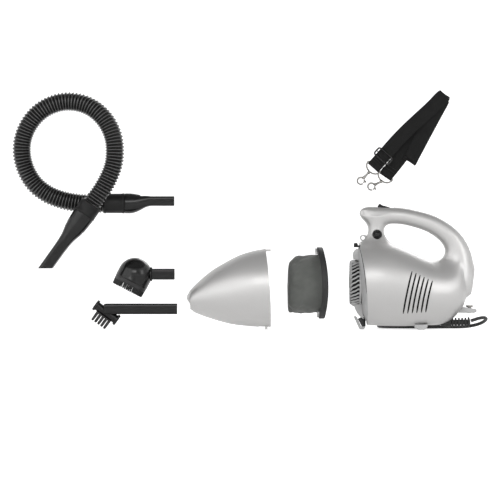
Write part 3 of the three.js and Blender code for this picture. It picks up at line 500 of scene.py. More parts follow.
def moulded(name, low, high, rough, grain=900, coat=0.0, shine=0.5):
    """Moulded plastic with a fine grain."""
    paint = Paint(name)
    paint.set(Specular_IOR_Level=shine)
    paint.color(low, high, 35)
    paint.rough(rough[0], rough[1], 60)
    paint.grain(grain, 0.18, 0.0001)
    paint.set(Coat_Weight=coat, Coat_Roughness=0.1)
    return paint.material


def gloss_black():
    """Glossy black plastic with faint flow waves and handling marks."""
    paint = Paint("gloss_black")
    paint.set(Specular_IOR_Level=0.28)
    paint.color(gray(0.003), gray(0.006), 40)
    paint.rough(0.12, 0.26, 90)
    ripple = paint.bump(paint.noise(55, 2), 0.12, 0.0006)
    paint.link(paint.bump(paint.noise(1300, 2), 0.05, 0.00005, ripple), "Normal")
    paint.set(Coat_Weight=0.18, Coat_Roughness=0.06)
    return paint.material


def black_rubber(name, tone, rough):
    paint = Paint(name)
    paint.color(gray(tone * 0.8), gray(tone * 1.25), 120)
    paint.rough(rough - 0.08, rough + 0.08, 200)
    paint.grain(1500, 0.3, 0.00012, 5)
    return paint.material


def webbing():
    """Matte black polypropylene webbing: fine ribs along it crossed by the weft."""
    paint = Paint("webbing")
    ribs = paint.waves(290, "X", paint.weave)
    weft = paint.waves(210, "Y", paint.weave, 0.6)
    cloth = paint.product(ribs, weft)
    fuzz = paint.noise(2200, 4)
    paint.link(paint.ramp(cloth, gray(0.003), gray(0.015), 0.1, 0.9), "Base Color")
    paint.link(paint.spread(fuzz, 0.78, 0.95), "Roughness")
    threads = paint.bump(cloth, 0.8, 0.0004)
    paint.link(paint.bump(fuzz, 0.25, 0.0002, threads), "Normal")
    paint.set(Sheen_Weight=0.06, Sheen_Roughness=0.5, Specular_IOR_Level=0.25)
    return paint.material


def filter_cloth():
    """Dark grey-green woven cloth with faint dust and soft creases."""
    paint = Paint("filter_cloth")
    warp = paint.waves(150, "X", paint.weave, 0.6)
    weft = paint.waves(150, "Y", paint.weave, 0.6)
    cloth = paint.product(warp, weft, "ADD")
    dust = paint.noise(28, 5)
    shade = paint.ramp(dust, (0.05, 0.053, 0.049), (0.1, 0.105, 0.098), 0.3, 0.75)
    mix = paint.node("ShaderNodeMix", {"Factor": paint.spread(cloth, 0.0, 0.35)}, data_type="RGBA")
    paint.tree.links.new(shade, mix.inputs["A"])
    mix.inputs["B"].default_value = (0.16, 0.165, 0.155, 1)
    paint.link(mix.outputs["Result"], "Base Color")
    paint.link(paint.spread(dust, 0.8, 0.95), "Roughness")
    creases = paint.bump(paint.noise(75, 3), 0.35, 0.0015)
    paint.link(paint.bump(cloth, 0.5, 0.0003, creases), "Normal")
    paint.set(Sheen_Weight=0.25, Sheen_Roughness=0.4)
    return paint.material


def metal(name, low, high, rough, scratch=(40, 40, 900)):
    """Bare or plated metal with fine drawn scratches."""
    paint = Paint(name)
    paint.set(Metallic=1.0)
    lines = paint.noise(1.0, 4, 0.6, paint.stretched(scratch))
    paint.link(paint.ramp(lines, low, high), "Base Color")
    paint.link(paint.spread(lines, rough[0], rough[1]), "Roughness")
    paint.link(paint.bump(lines, 0.08, 0.0001), "Normal")
    return paint.material


def banded_metal(name, low, high, pitch, rough):
    """Stacked sheets or wound wire: fine bands along X."""
    paint = Paint(name)
    paint.set(Metallic=0.9)
    bands = paint.waves(pitch, "X", None, 0.3)
    paint.link(paint.ramp(bands, low, high, 0.15, 0.6), "Base Color")
    paint.link(paint.spread(paint.noise(200), rough[0], rough[1]), "Roughness")
    paint.link(paint.bump(bands, 0.5, 0.0003), "Normal")
    return paint.material


MATERIALS = {
    "silver_paint": silver_paint("silver_paint", 0.6),
    "silver_paint_cone": silver_paint("silver_paint_cone", 0.62),
    "pale_trim": moulded("pale_trim", gray(0.36), gray(0.43), (0.34, 0.46), 1100, 0.1),
    "gloss_black": gloss_black(),
    "satin_black": moulded("satin_black", gray(0.006), gray(0.011), (0.38, 0.5), shine=0.22),
    "hose_black": moulded("hose_black", gray(0.003), gray(0.007), (0.2, 0.28), 300, 0.5, 0.6),
    "black_rubber": black_rubber("black_rubber", 0.014, 0.62),
    "cord_rubber": black_rubber("cord_rubber", 0.016, 0.55),
    "webbing": webbing(),
    "filter_cloth": filter_cloth(),
    "bristle": moulded("bristle", gray(0.006), gray(0.018), (0.35, 0.6), 2500),
    "nickel_steel": metal("nickel_steel", (0.1, 0.097, 0.092), (0.36, 0.35, 0.33), (0.14, 0.26)),
    "aluminium": metal("aluminium", gray(0.5), gray(0.68), (0.28, 0.42), (900, 60, 60)),
    "lamination": banded_metal("lamination", gray(0.08), gray(0.3), 320, (0.4, 0.6)),
    "copper_winding": banded_metal("copper_winding", (0.2, 0.07, 0.03), (0.62, 0.26, 0.12), 260,
                                   (0.25, 0.45)),
    "brass": metal("brass", (0.6, 0.4, 0.14), (0.78, 0.56, 0.24), (0.18, 0.32), (60, 900, 60)),
    "fibre": moulded("fibre", (0.02, 0.018, 0.016), (0.045, 0.04, 0.034), (0.7, 0.9), 700),
}


def finish_cad_pieces():
    """The CAD pieces that stay in view keep their shape and get their own finish."""
    for entry in frame["record"]["subparts"]:
        obj = frame["nodes"][entry["node"]]
        obj.data.materials.clear()
        obj.data.materials.append(MATERIALS[entry["material_slot"]])


# ---------------------------------------------------------------- studio

CAMERA_AT = (-0.307, -5.5, 0.143)
LENS = 220
SEEN_LIGHT = 0.62
MIRRORED_LIGHT = 0.34


def studio_white():
    """White to the camera, and a softer grey in what the pieces mirror."""
    paint = Paint("studio_white")
    seen = paint.node("ShaderNodeLightPath").outputs["Is Camera Ray"]
    paint.link(paint.spread(seen, MIRRORED_LIGHT, SEEN_LIGHT), "Emission Strength")
    paint.set(Base_Color=(0.85, 0.85, 0.85, 1), Roughness=0.9, Emission_Color=(1, 1, 1, 1))
    return paint.material


def studio():
    """A pale bowl of floor and wall, soft lights, and the camera square to the layout."""
    profile = [(0.0, 0.0), (5.5, 0.0), (7.0, 0.15), (8.2, 0.7), (8.8, 1.7), (9.0, 3.0), (9.0, 8.0)]
    line = spline(profile, 6)
    shape = turned([(z * 1000, r * 1000) for r, z in line], 96, (-307, 0, 0), (0, 0, 1))
    shape.faces = shape.faces[:-1]
    bowl = mesh_object("studio_bowl", shape)
    smooth(bowl, 60)
    bowl.data.materials.append(studio_white())
    light("left_light", (-2.3, -1.7, 0.9), (-0.3, 0, 0.12), (2.6, 2.2), 16)
    light("right_light", (1.5, -1.5, 0.8), (-0.1, 0, 0.12), (0.8, 1.2), 9)
    light("front_light", (-0.6, -3.4, 1.5), (-0.3, 0, 0.12), (1.8, 0.9), 19)
    light("back_light", (0.3, 1.9, 1.3), (-0.2, 0, 0.1), (1.2, 0.8), 8)
    world = bpy.data.worlds.new("studio_air")
    bpy.context.scene.world = world
    world.use_nodes = True
    world.node_tree.nodes["Background"].inputs["Color"].default_value = (0.35, 0.35, 0.35, 1)
    data = bpy.data.cameras.new("camera")
    data.lens = LENS
    camera = linked("camera", data)
    camera.location = CAMERA_AT
    camera.rotation_euler = (math.pi / 2, 0, 0)
    bpy.context.scene.camera = camera
    bpy.context.scene.view_settings.view_transform = "Standard"


def light(name, at, towards, size, watts):
    data = bpy.data.lights.new(name, "AREA")
    data.shape = "RECTANGLE"
    data.size, data.size_y = size
    data.energy = watts
    lamp = linked(name, data)
    lamp.location = at
    lamp.rotation_mode = "QUATERNION"
    lamp.rotation_quaternion = (Vector(towards) - Vector(at)).to_track_quat("-Z", "Y")


# ---------------------------------------------------------------- the two silver shells

BODY_SIDES = 96
GRIP_SIDES = 48
HOLLOW_ROWS = 25  # rings of the body that are hollow, counted from the front
CONE_HOLLOW_ROWS = 38  # rings of the cone that are hollow, counted from its open end
VOXEL = 1.4
HANDLE_BLEND = 13  # reach of the soft meeting of grip and post
POST_BLEND = 22  # of the post and the body
TAIL_BLEND = 30  # of the grip's rear end and the body


def flat_stations(rows, steps):
    """The rings of a shell as plain rows, filled in smoothly between the ones that drive it."""
    return spline([(*low, *high, half, lean) for low, high, half, lean in rows], steps)


def stations(rows, steps):
    """The same rings, each as lowest point, highest point, half-width and lean."""
    filled = flat_stations(rows, steps)
    return [((x0, z0), (x1, z1), half, lean) for x0, z0, x1, z1, half, lean in filled]


def oval_ring(station, inset=0.0, sides=BODY_SIDES, at=(0, 0, 0)):
    """One upright oval ring; its X leans from the lowest to the highest point."""
    low, high, half, lean = station
    ring = []
    for c, s in circle(sides):
        height = (s + 1) / 2
        x = low[0] + (high[0] - low[0]) * height ** lean
        z = low[1] + inset + (high[1] - low[1] - 2 * inset) * height
        ring.append(Vector((x, (half - inset) * c, z)) + Vector(at))
    return ring


def grip_rings(rows, steps, inset=0.0):
    """Rings square to the grip's middle line."""
    line = spline([(*at, thick, wide) for at, thick, wide in rows], steps)
    rings = []
    for i, (x, z, thick, wide) in enumerate(line):
        before, after = line[max(i - 1, 0)], line[min(i + 1, len(line) - 1)]
        along = Vector((after[0] - before[0], 0, after[1] - before[1])).normalized()
        across = Vector((-along.z, 0, along.x))
        rings.append([Vector((x, (wide - inset) * c, z)) + across * (thick - inset) * s
                      for c, s in circle(GRIP_SIDES)])
    return rings


def post_rings():
    rows = spline(POST, 5)
    return [[(x + long * c, wide * s, z) for c, s in circle(GRIP_SIDES)] for z, x, long, wide in rows]


def rim_outline(station, ahead):
    """The area in front of a leaning rim, in X and Z."""
    low, high, _, lean = station
    outline = []
    for k in range(33):
        height = -0.06 + 1.06 * k / 32
        x = low[0] + (high[0] - low[0]) * max(height, 0) ** lean
        outline.append((x, low[1] + (high[1] - low[1]) * height))
    return [(outline[0][0] - ahead, outline[0][1]), *outline, (outline[-1][0] - ahead, outline[-1][1])]


def shell_blank():
    """Body, grip and post run into one another without a crease."""
    rows = stations(BODY, 6)
    ahead = [p + Vector((-14, 0, 0)) for p in oval_ring(rows[0])]
    body = loft([ahead, *(oval_ring(row) for row in rows)])
    whole = merged([body, loft(grip_rings(GRIP, 5)), loft(post_rings())])
    obj = mesh_object("shell_blank", whole)
    for voxel, rounds in ((2 * VOXEL, 2), (VOXEL, 1)):
        remesh = obj.modifiers.new("blend", "REMESH")
        remesh.mode = "VOXEL"
        remesh.voxel_size = voxel * MM
        bake(obj)
        for _ in range(rounds):
            settle(obj)
    return obj


def settle(obj, steps=3):
    """Relaxes the skin and moves every point of it onto the blended outside of the shell."""
    modifier = obj.modifiers.new("relax", "SMOOTH")
    modifier.iterations = 4
    bake(obj)
    points = np.empty(len(obj.data.vertices) * 3)
    obj.data.vertices.foreach_get("co", points)
    places = points.reshape(-1, 3) / MM
    for _ in range(steps):
        depth = shell_depth(places)
        slope = np.stack([shell_depth(places + step) - depth for step in np.eye(3) * 0.05], 1) / 0.05
        steep = np.maximum((slope ** 2).sum(1), 0.05)
        places = places - np.clip(depth / steep, -3, 3)[:, None] * slope
    obj.data.vertices.foreach_set("co", (places * MM).ravel())
    obj.data.update()


def shell_depth(places):
    """How far points are outside the blended shell, in millimetres; negative inside."""
    grip = grip_depth(places)
    handle = melt(grip, post_depth(places), HANDLE_BLEND)
    share = np.clip((places[:, 0] + 30) / 60, 0, 1)
    return melt(body_depth(places), handle, POST_BLEND + (TAIL_BLEND - POST_BLEND) * share)


def melt(a, b, reach):
    """The smooth union of two depths."""
    near = np.clip(reach - np.abs(a - b), 0, None) / reach
    return np.minimum(a, b) - near ** 2 * reach / 4


def body_depth(places):
    table = np.array(flat_stations(BODY, 6))
    x, y, z = places.T
    order = np.arange(len(table), dtype=float)
    place = np.interp(x, table[:, 0], order)
    for _ in range(4):
        x0, z0, x1, z1, half, lean = (np.interp(place, order, column) for column in table.T)
        height = np.clip((z - z0) / np.maximum(z1 - z0, 1), 0, 1)
        shift = (x1 - x0) * height ** lean
        place = np.interp(x - shift, table[:, 0], order)
    tall = np.maximum((z1 - z0) / 2, 1)
    across = np.sqrt((y / half) ** 2 + ((z - (z0 + z1) / 2) / tall) ** 2)
    sides = (across - 1) * np.minimum(half, tall)
    front = table[0, 0] - 14 - x + shift
    back = x - shift - table[-1, 0]
    return np.maximum(sides, np.maximum(front, back))


def grip_depth(places):
    line = np.array(spline([(*at, thick, wide) for at, thick, wide in GRIP], 3))
    x, y, z = places.T
    best = np.full(len(places), 1e9)
    found = np.zeros((len(places), 3))
    for a, b in zip(line, line[1:]):
        step = b[:2] - a[:2]
        share = ((x - a[0]) * step[0] + (z - a[1]) * step[1]) / (step @ step)
        share = np.clip(share, 0, 1)
        off = np.hypot(x - a[0] - step[0] * share, z - a[1] - step[1] * share)
        thick = a[2] + (b[2] - a[2]) * share
        closer = off / thick < best
        best = np.where(closer, off / thick, best)
        wide = a[3] + (b[3] - a[3]) * share
        found = np.where(closer[:, None], np.stack([off, thick, wide], 1), found)
    off, thick, wide = found.T
    return (np.sqrt((off / thick) ** 2 + (y / wide) ** 2) - 1) * np.minimum(thick, wide)


def post_depth(places):
    table = np.array(spline(POST, 5))
    x, y, z = places.T
    middle, long, wide = (np.interp(z, table[:, 0], table[:, k]) for k in (1, 2, 3))
    sides = (np.sqrt(((x - middle) / long) ** 2 + (y / wide) ** 2) - 1) * np.minimum(long, wide)
    return np.maximum(sides, np.maximum(table[0, 0] - z, z - table[-1, 0]))


def vent_outline(share):
    """One slot, slightly bowed, with round ends."""
    top, bottom = ([mix(a, b, share) for a, b in zip(FIRST_VENT[k], LAST_VENT[k])] for k in (0, 1))
    steps = 12
    left, right = [], []
    for k in range(steps + 1):
        t = k / steps
        x = mix(top[0], bottom[0], t) - VENT_BOW * 4 * t * (1 - t)
        z = mix(top[1], bottom[1], t)
        half = VENT_WIDTH / 2 * (0.45, 0.85, 1)[min(k, steps - k, 2)]
        left.append((x - half, z))
        right.append((x + half, z))
    return left + right[::-1]


def housing():
    """The moulded body and loop handle, in a near and a far half."""
    blank = shell_blank()
    inner = stations(BODY, 4)[:HOLLOW_ROWS]
    first = [p + Vector((-20, 0, 0)) for p in oval_ring(inner[0], WALL, 64)]
    hollow = loft([first, *(oval_ring(row, WALL, 64) for row in inner)])
    front_of_rim = side_cut(rim_outline(BODY[0], 40), 120)
    grip_hollow = loft(grip_rings(GRIP[3:12], 4, WALL + 0.6))
    vents = [side_cut(vent_outline(k / (VENTS - 1)), 200) for k in range(VENTS)]
    switch_slot = block((-78, -6, 211.5), (-48.6, 6, 240))
    button_bore = rod((BUTTON[0], -60, BUTTON[1]), (BUTTON[0], -3, BUTTON[1]), BUTTON_RADIUS + 0.6, 48)
    front_lug_slot = block((-115, -2.9, 152), (-90, 2.9, 175))
    latch_slot = block((-112, -7.5, 142), (-98, 7.5, 158))
    lead_bore = rod((52, 0, 12), (28, 0, 32), 5.4)
    rear_lug_slot = block((58, -8.4, 28), (75, 8.4, 42.5))
    screw_bores = [rod((x, 11, z), (x, 120, z), 4, 32) for x, z in SCREWS]
    cutters = [front_of_rim, hollow, grip_hollow, *vents, switch_slot, button_bore, front_lug_slot,
               latch_slot, lead_bore, rear_lug_slot, *screw_bores]
    carve(blank, cutters)
    for name, near, far in (("housing_near", -200, -SEAM), ("housing_far", SEAM, 200)):
        half = linked(name, blank.data.copy())
        carve(half, [block((-200, near, -50), (200, far, 300))], "INTERSECT")
        paint_shell(half)
        smooth(half, 38)
        seat(half, "body", [f"{name}_half"])
    bpy.data.objects.remove(blank)


def paint_shell(obj):
    """Silver lacquer outside, and black on the walls of the hollow and the slots: painted shade for the dark
    inside of the body.
    """
    mesh = obj.data
    mesh.materials.clear()
    mesh.materials.append(MATERIALS["silver_paint"])
    mesh.materials.append(MATERIALS["satin_black"])
    centres = np.empty(len(mesh.polygons) * 3)
    mesh.polygons.foreach_get("center", centres)
    centres = centres.reshape(-1, 3) / MM
    # the faces inside the shell take the black, which is painted shade
    inside = (shell_depth(centres) < -0.9) & (centres[:, 2] < 200)
    mesh.polygons.foreach_set("material_index", inside.astype(int))


def vent_shade_sheets():
    """A black sheet behind the slots of each side: painted shade for the dark inside of the body."""
    rows = [row for row in stations(BODY, 6) if -46 < row[0][0] < 34]
    for side, name in ((-1, "near"), (1, "far")):
        sheets = []
        for inset in (4.2, 5.6):
            grid = []
            for row in rows:
                ring = oval_ring(row, inset, 96)
                picked = [p for p in ring if p.y * side > 0 and 24 < p.z < 112]
                column = even(sorted(picked, key=lambda p: p.z), 4)
                grid.append([column[round(k * (len(column) - 1) / 16)] for k in range(17)])
            sheets.append(grid)
        rings = [outer + inner[::-1] for outer, inner in zip(*sheets)]
        # the sheet's black is painted shade seen through the slots
        build(f"vent_shade_sheet_{name}", loft(rings), "body", "satin_black")


def nose_cone():
    """The thin silver cone with its flat mouth, latch tabs and two small marks on its ridge."""
    rows = stations(CONE, 6)
    rings = [oval_ring(row, 0, BODY_SIDES, CONE_AT) for row in rows]
    tip = rings[-1]
    middle = sum(tip, Vector()) / len(tip)
    for share, forward in ((0.82, 2.0), (0.5, 3.2), (0.15, 3.7)):
        rings.append([middle.lerp(p, share) + Vector((-forward, 0, 0)) for p in tip])
    cone = mesh_object("nose_cone", loft(rings), MATERIALS["silver_paint_cone"])
    inner = [oval_ring(row, 2.2, 64, CONE_AT) for row in rows[:CONE_HOLLOW_ROWS]]
    behind = [p + Vector((15, 0, 0)) for p in inner[0]]
    x, _, z = CONE_AT
    mouth = loft([superellipse(x + at, 0, z + 42.5, 34, 16, 0.35, 32) for at in (-170, -130)])
    notches = [block((x - 21, -8, z + 126), (x + 10, 8, z + 150)),
               block((x - 22, -10.5, 0), (x + 10, 10.5, z + 10))]
    tip_notch = [(x - 156, 52.4), (x - 149.6, 52.6), (x - 146, 48.6), (x - 144.9, 43.6), (x - 145.3, 37.6),
                 (x - 146.6, 33), (x - 156, 32)]
    marks = [rod((x + at, side * 3.5, z + 150), (x + at, side * 3.5, z + up), 1.3, 16)
             for at, up in ((-31, 135.6), (-22.5, 137.6)) for side in (-4, 4)]
    carve(cone, [loft([behind, *inner]), mouth, *notches, *marks, side_cut(tip_notch, 40)])
    tabs = [block((x - 12, y - 1.6, z + 136.4), (x, y + 1.6, z + 140.2)) for y in (-10, 10)]
    lugs = [block((x - 10.5, y - 1.8, z - 3.6), (x - 6, y + 1.8, z + 4.5)) for y in (-13, 13)]
    carve(cone, tabs + lugs, "UNION")
    smooth(cone, 38)
    seat(cone, "cone", ["dust_cone"])


# ---------------------------------------------------------------- mains lead

CORD_RADIUS = 3
CORD_ROUTE = [
    (90.7, 0, 15.6), (98, 0, 18), (106, 2, 20.4), (114, 8, 21.4), (119.5, 18, 20), (120, 30, 16.5),
    (115.5, 42, 12), (106, 52, 7.6), (92, 58.5, 4.4), (76, 61, 3.1), (58, 61.5, 3.1), (40, 61.5, 3.1),
    (22, 61.5, 3.1),
]
COIL_AT = (-15, 120)
COIL_RADII = (56, 50, 44, 38)
COIL_HEIGHTS = (3.1, 9.1, 15.1, 21.1)
TURN_POINTS = 24
TAIL_ROUTE = [(32, 112, 28), (25, 96, 29), (12, 88, 31.5), (-2, 91, 34.5), (-12, 103, 36), (-15, 116, 36)]


def coil_route():
    """Sixteen turns, laid inwards and outwards by layers."""
    turns = []
    for layer, z in enumerate(COIL_HEIGHTS):
        radii = COIL_RADII if layer % 2 == 0 else COIL_RADII[::-1]
        turns += [(radius, z) for radius in radii]
    points = []
    for k in range(len(turns) * TURN_POINTS + TURN_POINTS * 3 // 4 - 3):
        turn, step = divmod(k, TURN_POINTS)
        turn = min(turn, len(turns) - 1)
        (radius, z), (before, low) = turns[turn], turns[max(turn - 1, 0)]
        share = min(1, step / 6)
        if k >= len(turns) * TURN_POINTS:
            share, before, low, radius, z = min(1, step / 8), turns[-1][0], turns[-1][1], 48, 27.4
        radius, z = mix(before, radius, share), mix(low, z, share)
        angle = -math.pi / 2 - 2 * math.pi * k / TURN_POINTS
        points.append((COIL_AT[0] + radius * math.cos(angle), COIL_AT[1] + radius * math.sin(angle), z))
    return points


def mains_lead():
    """Five metres of round lead: out of its sleeve, round behind the body and into a tied coil."""
    points = CORD_ROUTE + coil_route() + TAIL_ROUTE
    data = bpy.data.curves.new("mains_lead", "CURVE")
    data.dimensions = "3D"
    data.bevel_depth = CORD_RADIUS * MM
    data.bevel_resolution = 4
    data.resolution_u = 4
    data.use_fill_caps = True
    line = data.splines.new("NURBS")
    line.points.add(len(points) - 1)
    for point, place in zip(line.points, points):
        point.co = (*(Vector(place) * MM), 1)
    line.use_endpoint_u = True
    line.order_u = 3
    lead = linked("mains_lead", data)
    data.materials.append(MATERIALS["cord_rubber"])
    seat(lead, "body", ["power_cord", "cord_coil", "cord_tail"])
    pieces = [cord_tie(), plug(), frame["nodes"]["plug_pins"]]


def cord_tie():
    """A soft black tie pulled round the coil's bundle."""
    rings = []
    for c, s in circle(48):
        place = Vector((0, 47 + squared(c, 0.45) * 13.4, max(12.2 + squared(s, 0.45) * 13.2, 0.5)))
        inner = place + Vector((0, -c * 0.9, -s * 0.9))
        wide = Vector((4, 0, 0))
        rings.append([place - wide, place + wide, inner + wide, inner - wide])
    turn = Matrix.Translation((*COIL_AT, 0)) @ Matrix.Rotation(math.radians(-50), 4, "Z")
    band = loft(rings, joined=True).moved(turn)
    return build("cord_tie", band, "body", "satin_black", edge=0.2, angle=50)


def plug():
    """A flat two-pin moulded plug with a waist, grip ridges and a ribbed neck."""
    x, _, z = TAIL_ROUTE[-1]
    rows = [(116, 3.4, 3.4), (117, 4.1, 4.1), (121, 4.3, 4.2), (128, 7, 5.6), (134, 12, 7.4),
            (140, 16.8, 8.7), (146, 17.5, 9.4), (158, 16.6, 9.7), (162, 17.2, 10), (163.6, 16.8, 9.6),
            (164, 15.8, 8.9)]
    rings = []
    for y, wide, high in spline(rows, 4):
        ring = superellipse(0, 0, 0, 2 * wide, 2 * high, 0.8, 64)
        rings.append([Vector((x + p.y, y, z + p.z)) for p in ring])
    grips = [block((middle - 1.3, y - 0.7, z - 5), (middle + 1.3, y + 0.7, z + 5))
             for middle in (x - 17.7, x + 17.7) for y in (148, 151, 154)]
    return build("plug_shell", loft(rings), "body", "cord_rubber", ["plug_body"], cutters=grips)


# ---------------------------------------------------------------- filter

FILTER_AT = (-180, 0, 83.7)
RING_OUTER = 64.4
BAG_ROUND = 0.33  # the bag's cloth laid flat, in metres


def ring_bend(height):
    share = height / RING_OUTER
    return 9.2 - 7.2 * share ** 2 - 1.8 * share


def bent_ring(profile, sides=128):
    """A ring-shaped section, radius and depth, bent like the body's rim."""
    rings = []
    for radius, depth in profile:
        rings.append([Vector((depth + ring_bend(radius * s), radius * c, radius * s)) + Vector(FILTER_AT)
                      for c, s in circle(sides)])
    return loft(rings, joined=True)


def filter_set():
    """The cloth bag, its pale frame and the rubber ring that seals it."""
    seal = [(57, -2.6), (57.6, -3), (60, -3.2), (62.5, -6.8), (63.4, -7.4), (64.2, -6.8), (64.4, -5.6),
            (64.4, 1.8), (63.6, 3), (62.4, 3.4), (57.6, 3), (57, 2.6)]
    build("filter_seal", bent_ring(seal), "filter", "black_rubber", ["filter_ring"], angle=60)
    collar = [(47.8, 1.8), (47.8, -1.8), (57.4, -1.8), (57.4, 1.8)]
    build("filter_frame", bent_ring(collar), "filter", "pale_trim", angle=50)
    rim = [(50.4, -10.6), (51.6, -11.8), (60.4, -11.8), (61.8, -11.2), (62.6, -9.6), (61.9, -8.6),
           (58.6, -3.2), (50.4, -3.2)]
    middle = block((-230, -80, FILTER_AT[2] - 51.5), (-150, 80, FILTER_AT[2] + 51.5))
    build("filter_frame_tabs", bent_ring(rim), "filter", "pale_trim", angle=50, cutters=[middle])
    bag = filter_bag()


def filter_bag():
    """The cloth bag: pulled in and creased below, rounder above, open towards the body."""
    rows = [
        ((-11, -52.5), (-13, 50), 50, 1),
        ((-24, -56), (-26, 51), 49.5, 1),
        ((-42, -56), (-44, 48.3), 47, 1),
        ((-53, -55), (-52, 42.5), 43.4, 1),
        ((-57.2, -51.5), (-56, 36), 38, 1),
        ((-58.4, -40), (-57.8, 24), 26, 1),
        ((-58.8, -22), (-58.6, 6), 12, 1),
        ((-59, -10), (-59, -6), 2, 1),
    ]
    sides = 128
    shape = Shape()
    rings = [oval_ring(row, 0, sides, FILTER_AT) for row in stations(rows, 7)]
    rings = [[seam_place(p, k) for p in rings[0]] for k in (0, 0.35, 0.7)] + rings[1:]
    along = 0.0
    for r, ring in enumerate(rings):
        along += (ring[0] - rings[max(r - 1, 0)][0]).length
        for i in range(sides + 1):
            point = crumpled(ring[i % sides], r / len(rings))
            shape.uvs[len(shape.points)] = (BAG_ROUND * i / sides, along * MM)
            shape.points.append(point)
    for r in range(len(rings) - 1):
        for i in range(sides):
            a = r * (sides + 1) + i
            shape.faces.append((a, a + 1, a + sides + 2, a + sides + 1))
    bag = mesh_object("filter_cloth_bag", shape, MATERIALS["filter_cloth"])
    thick = bag.modifiers.new("cloth", "SOLIDIFY")
    thick.thickness = 0.9 * MM
    thick.offset = 1
    bake(bag)
    smooth(bag, 60)
    return seat(bag, "filter", ["filter_bag"])


def seam_place(point, share):
    """A point of the bag's open end, moved to the bent seam of the frame at share 0."""
    height = point.z - FILTER_AT[2]
    seam = FILTER_AT[0] - 7 + ring_bend(height)
    return Vector((mix(seam, point.x, share), point.y, point.z))


def crumpled(point, share):
    """Moves a point of the bag in by its folds: long ones along the bag and a pulled-in belly."""
    fade = min(1.0, share * 4)
    middle = Vector((point.x, 0, FILTER_AT[2] - 3))
    out = (point - middle).normalized()
    angle = math.atan2(point.z - middle.z, point.y)
    fold = math.sin(9 * angle + point.x * 0.09) + 0.6 * math.sin(17 * angle - point.x * 0.16 + 1.3)
    low = max(0.0, -math.sin(angle))
    fold += low * 1.3 * math.sin(point.x * 0.28 + 2 * math.cos(3 * angle))
    dent = noise.noise(Vector(point) * 0.045) * 3.2 + noise.noise(Vector(point) * 0.12) * 1.1
    return point + out * fade * (0.55 * fold + dent - 2.4)


# ---------------------------------------------------------------- front of the body


def front_plate():
    """The pale pan that closes the front, with a rolled edge."""
    rows = [
        ((-95.5, 13.2), (-107.5, 151), 66.2, 2.1),
        ((-97.4, 13.8), (-109.6, 150.4), 65.6, 2.1),
        ((-99.5, 16), (-111.9, 148), 62.5, 2.1),
        ((-103, 24), (-113, 142), 52, 1.6),
        ((-105, 34), (-113, 134), 46, 1.3),
        ((-106, 42), (-112.5, 127), 41.6, 1),
    ]
    front = [oval_ring(row) for row in stations(rows, 3)]
    back = [[p + Vector((2.6, 0, 0)) for p in ring] for ring in front][::-1]
    notches = [block((-130, -12.5, 144), (-98, 12.5, 160)), block((-125, -12, 5), (-95, 12, 24.5))]
    build("front_plate_skin", loft(front + back, joined=True), "body", "pale_trim", ["front_plate"],
          cutters=notches)
    upper = [(-110, 145.5), (-115, 144.6), (-118.4, 142.4), (-120.6, 139), (-121.7, 133), (-120.3, 126),
             (-110, 124)]
    lower = [(-103, 18.4), (-108, 22.4), (-113.8, 29), (-117.6, 36.6), (-119, 42), (-117, 45), (-106, 46)]
    shoulders = merged([side_cut(upper, 20), side_cut(lower, 16)])
    build("front_plate_shoulders", shoulders, "body", "pale_trim", edge=1.6, angle=50, cutters=notches)
    gasket = [((-96, 15), (-109.2, 149.4), 65.2, 2.1), ((-97.6, 14.8), (-110.8, 149.6), 65.4, 2.1),
              ((-98.2, 15.4), (-111.4, 149), 64.8, 2.1)]
    bead = [oval_ring(row) for row in gasket]
    inner = [oval_ring(row, 2) for row in gasket][::-1]
    build("rim_gasket", loft(bead + inner, joined=True), "body", "satin_black", cutters=notches)


GRILLE = {"radius": 41.5, "front": -128.2, "back": -109, "ribs": 32, "depth": 4.5, "hub": 12}


def intake_grille():
    """A drum of straight ribs whose front ends turn into leaning slats that run in to a hub."""
    radius, front, back, depth, hub = (GRILLE[key] for key in ("radius", "front", "back", "depth", "hub"))
    rail = turned([(back - 2, radius - depth), (back - 2, radius + 0.3), (back + 1, radius + 0.3),
                   (back + 1, radius - depth)], 96, joined=True)
    boss = turned([(front - 0.6, 0), (front - 0.6, hub - 2), (front, hub), (front + 3, hub),
                   (front + 3, 0)], 48)
    ring = turned([(front + 0.4, 24.5), (front + 0.4, 27), (front + 3, 27), (front + 3, 24.5)], 96,
                  joined=True)
    parts = [rail, boss, ring]
    for k in range(GRILLE["ribs"]):
        parts.append(grille_rib(2 * math.pi * (k + 0.5) / GRILLE["ribs"]))
    for x, z in ((-121.7, 119.3), (-119.4, 47.5)):
        for side in (-1, 1):
            parts.append(rod((x, side * 8, z), (x, side * 16, z), 5.8, 40, 1.2))
            parts.append(rod((x, side * 15.6, z), (x, side * 17, z), 3, 32, 0.6))
    build("intake_grille_detail", merged(parts), "body", "pale_trim", ["intake_grille"], edge=0.25)
    # A black disc behind the ribs: painted shade in the gaps of the grille.
    shade_disc_profile = [(0, 0), (0, 35), (0.8, 37), (2.2, 37.8), (17, 37.8), (17, 0)]
    build("intake_shade_disc", turned(shade_disc_profile, 64, (front + 3.4, 0, AXIS_Z)), "body", "satin_black")


def grille_rib(angle):
    """One rib: along the side of the drum, then turning as it runs in over the front."""
    radius, front, back, hub = (GRILLE[key] for key in ("radius", "front", "back", "hub"))
    path = [(back, radius - 0.4, 0), (back - 5, radius - 0.4, -0.01), (back - 9, radius - 0.8, -0.08),
            (front + 1.6, radius - 2.6, -0.19), (front + 0.5, 32, -0.34), (front + 0.5, 22, -0.52),
            (front + 0.6, hub - 1, -0.75)]
    rings = []
    for x, r, turn in spline(path, 4):
        half = 1.4 * min(1, r / 30 + 0.15)
        ring = []
        for across, down in ((-half, 0), (half, 0), (half, 2.6), (-half, 2.6)):
            inward = r - down if x > front + 2.5 else r
            back_off = 0 if x > front + 2.5 else down
            theta = angle + turn + across / max(r, 6)
            ring.append(Vector((x + back_off, inward * math.sin(theta), AXIS_Z + inward * math.cos(theta))))
        rings.append(ring)
    return loft(rings)


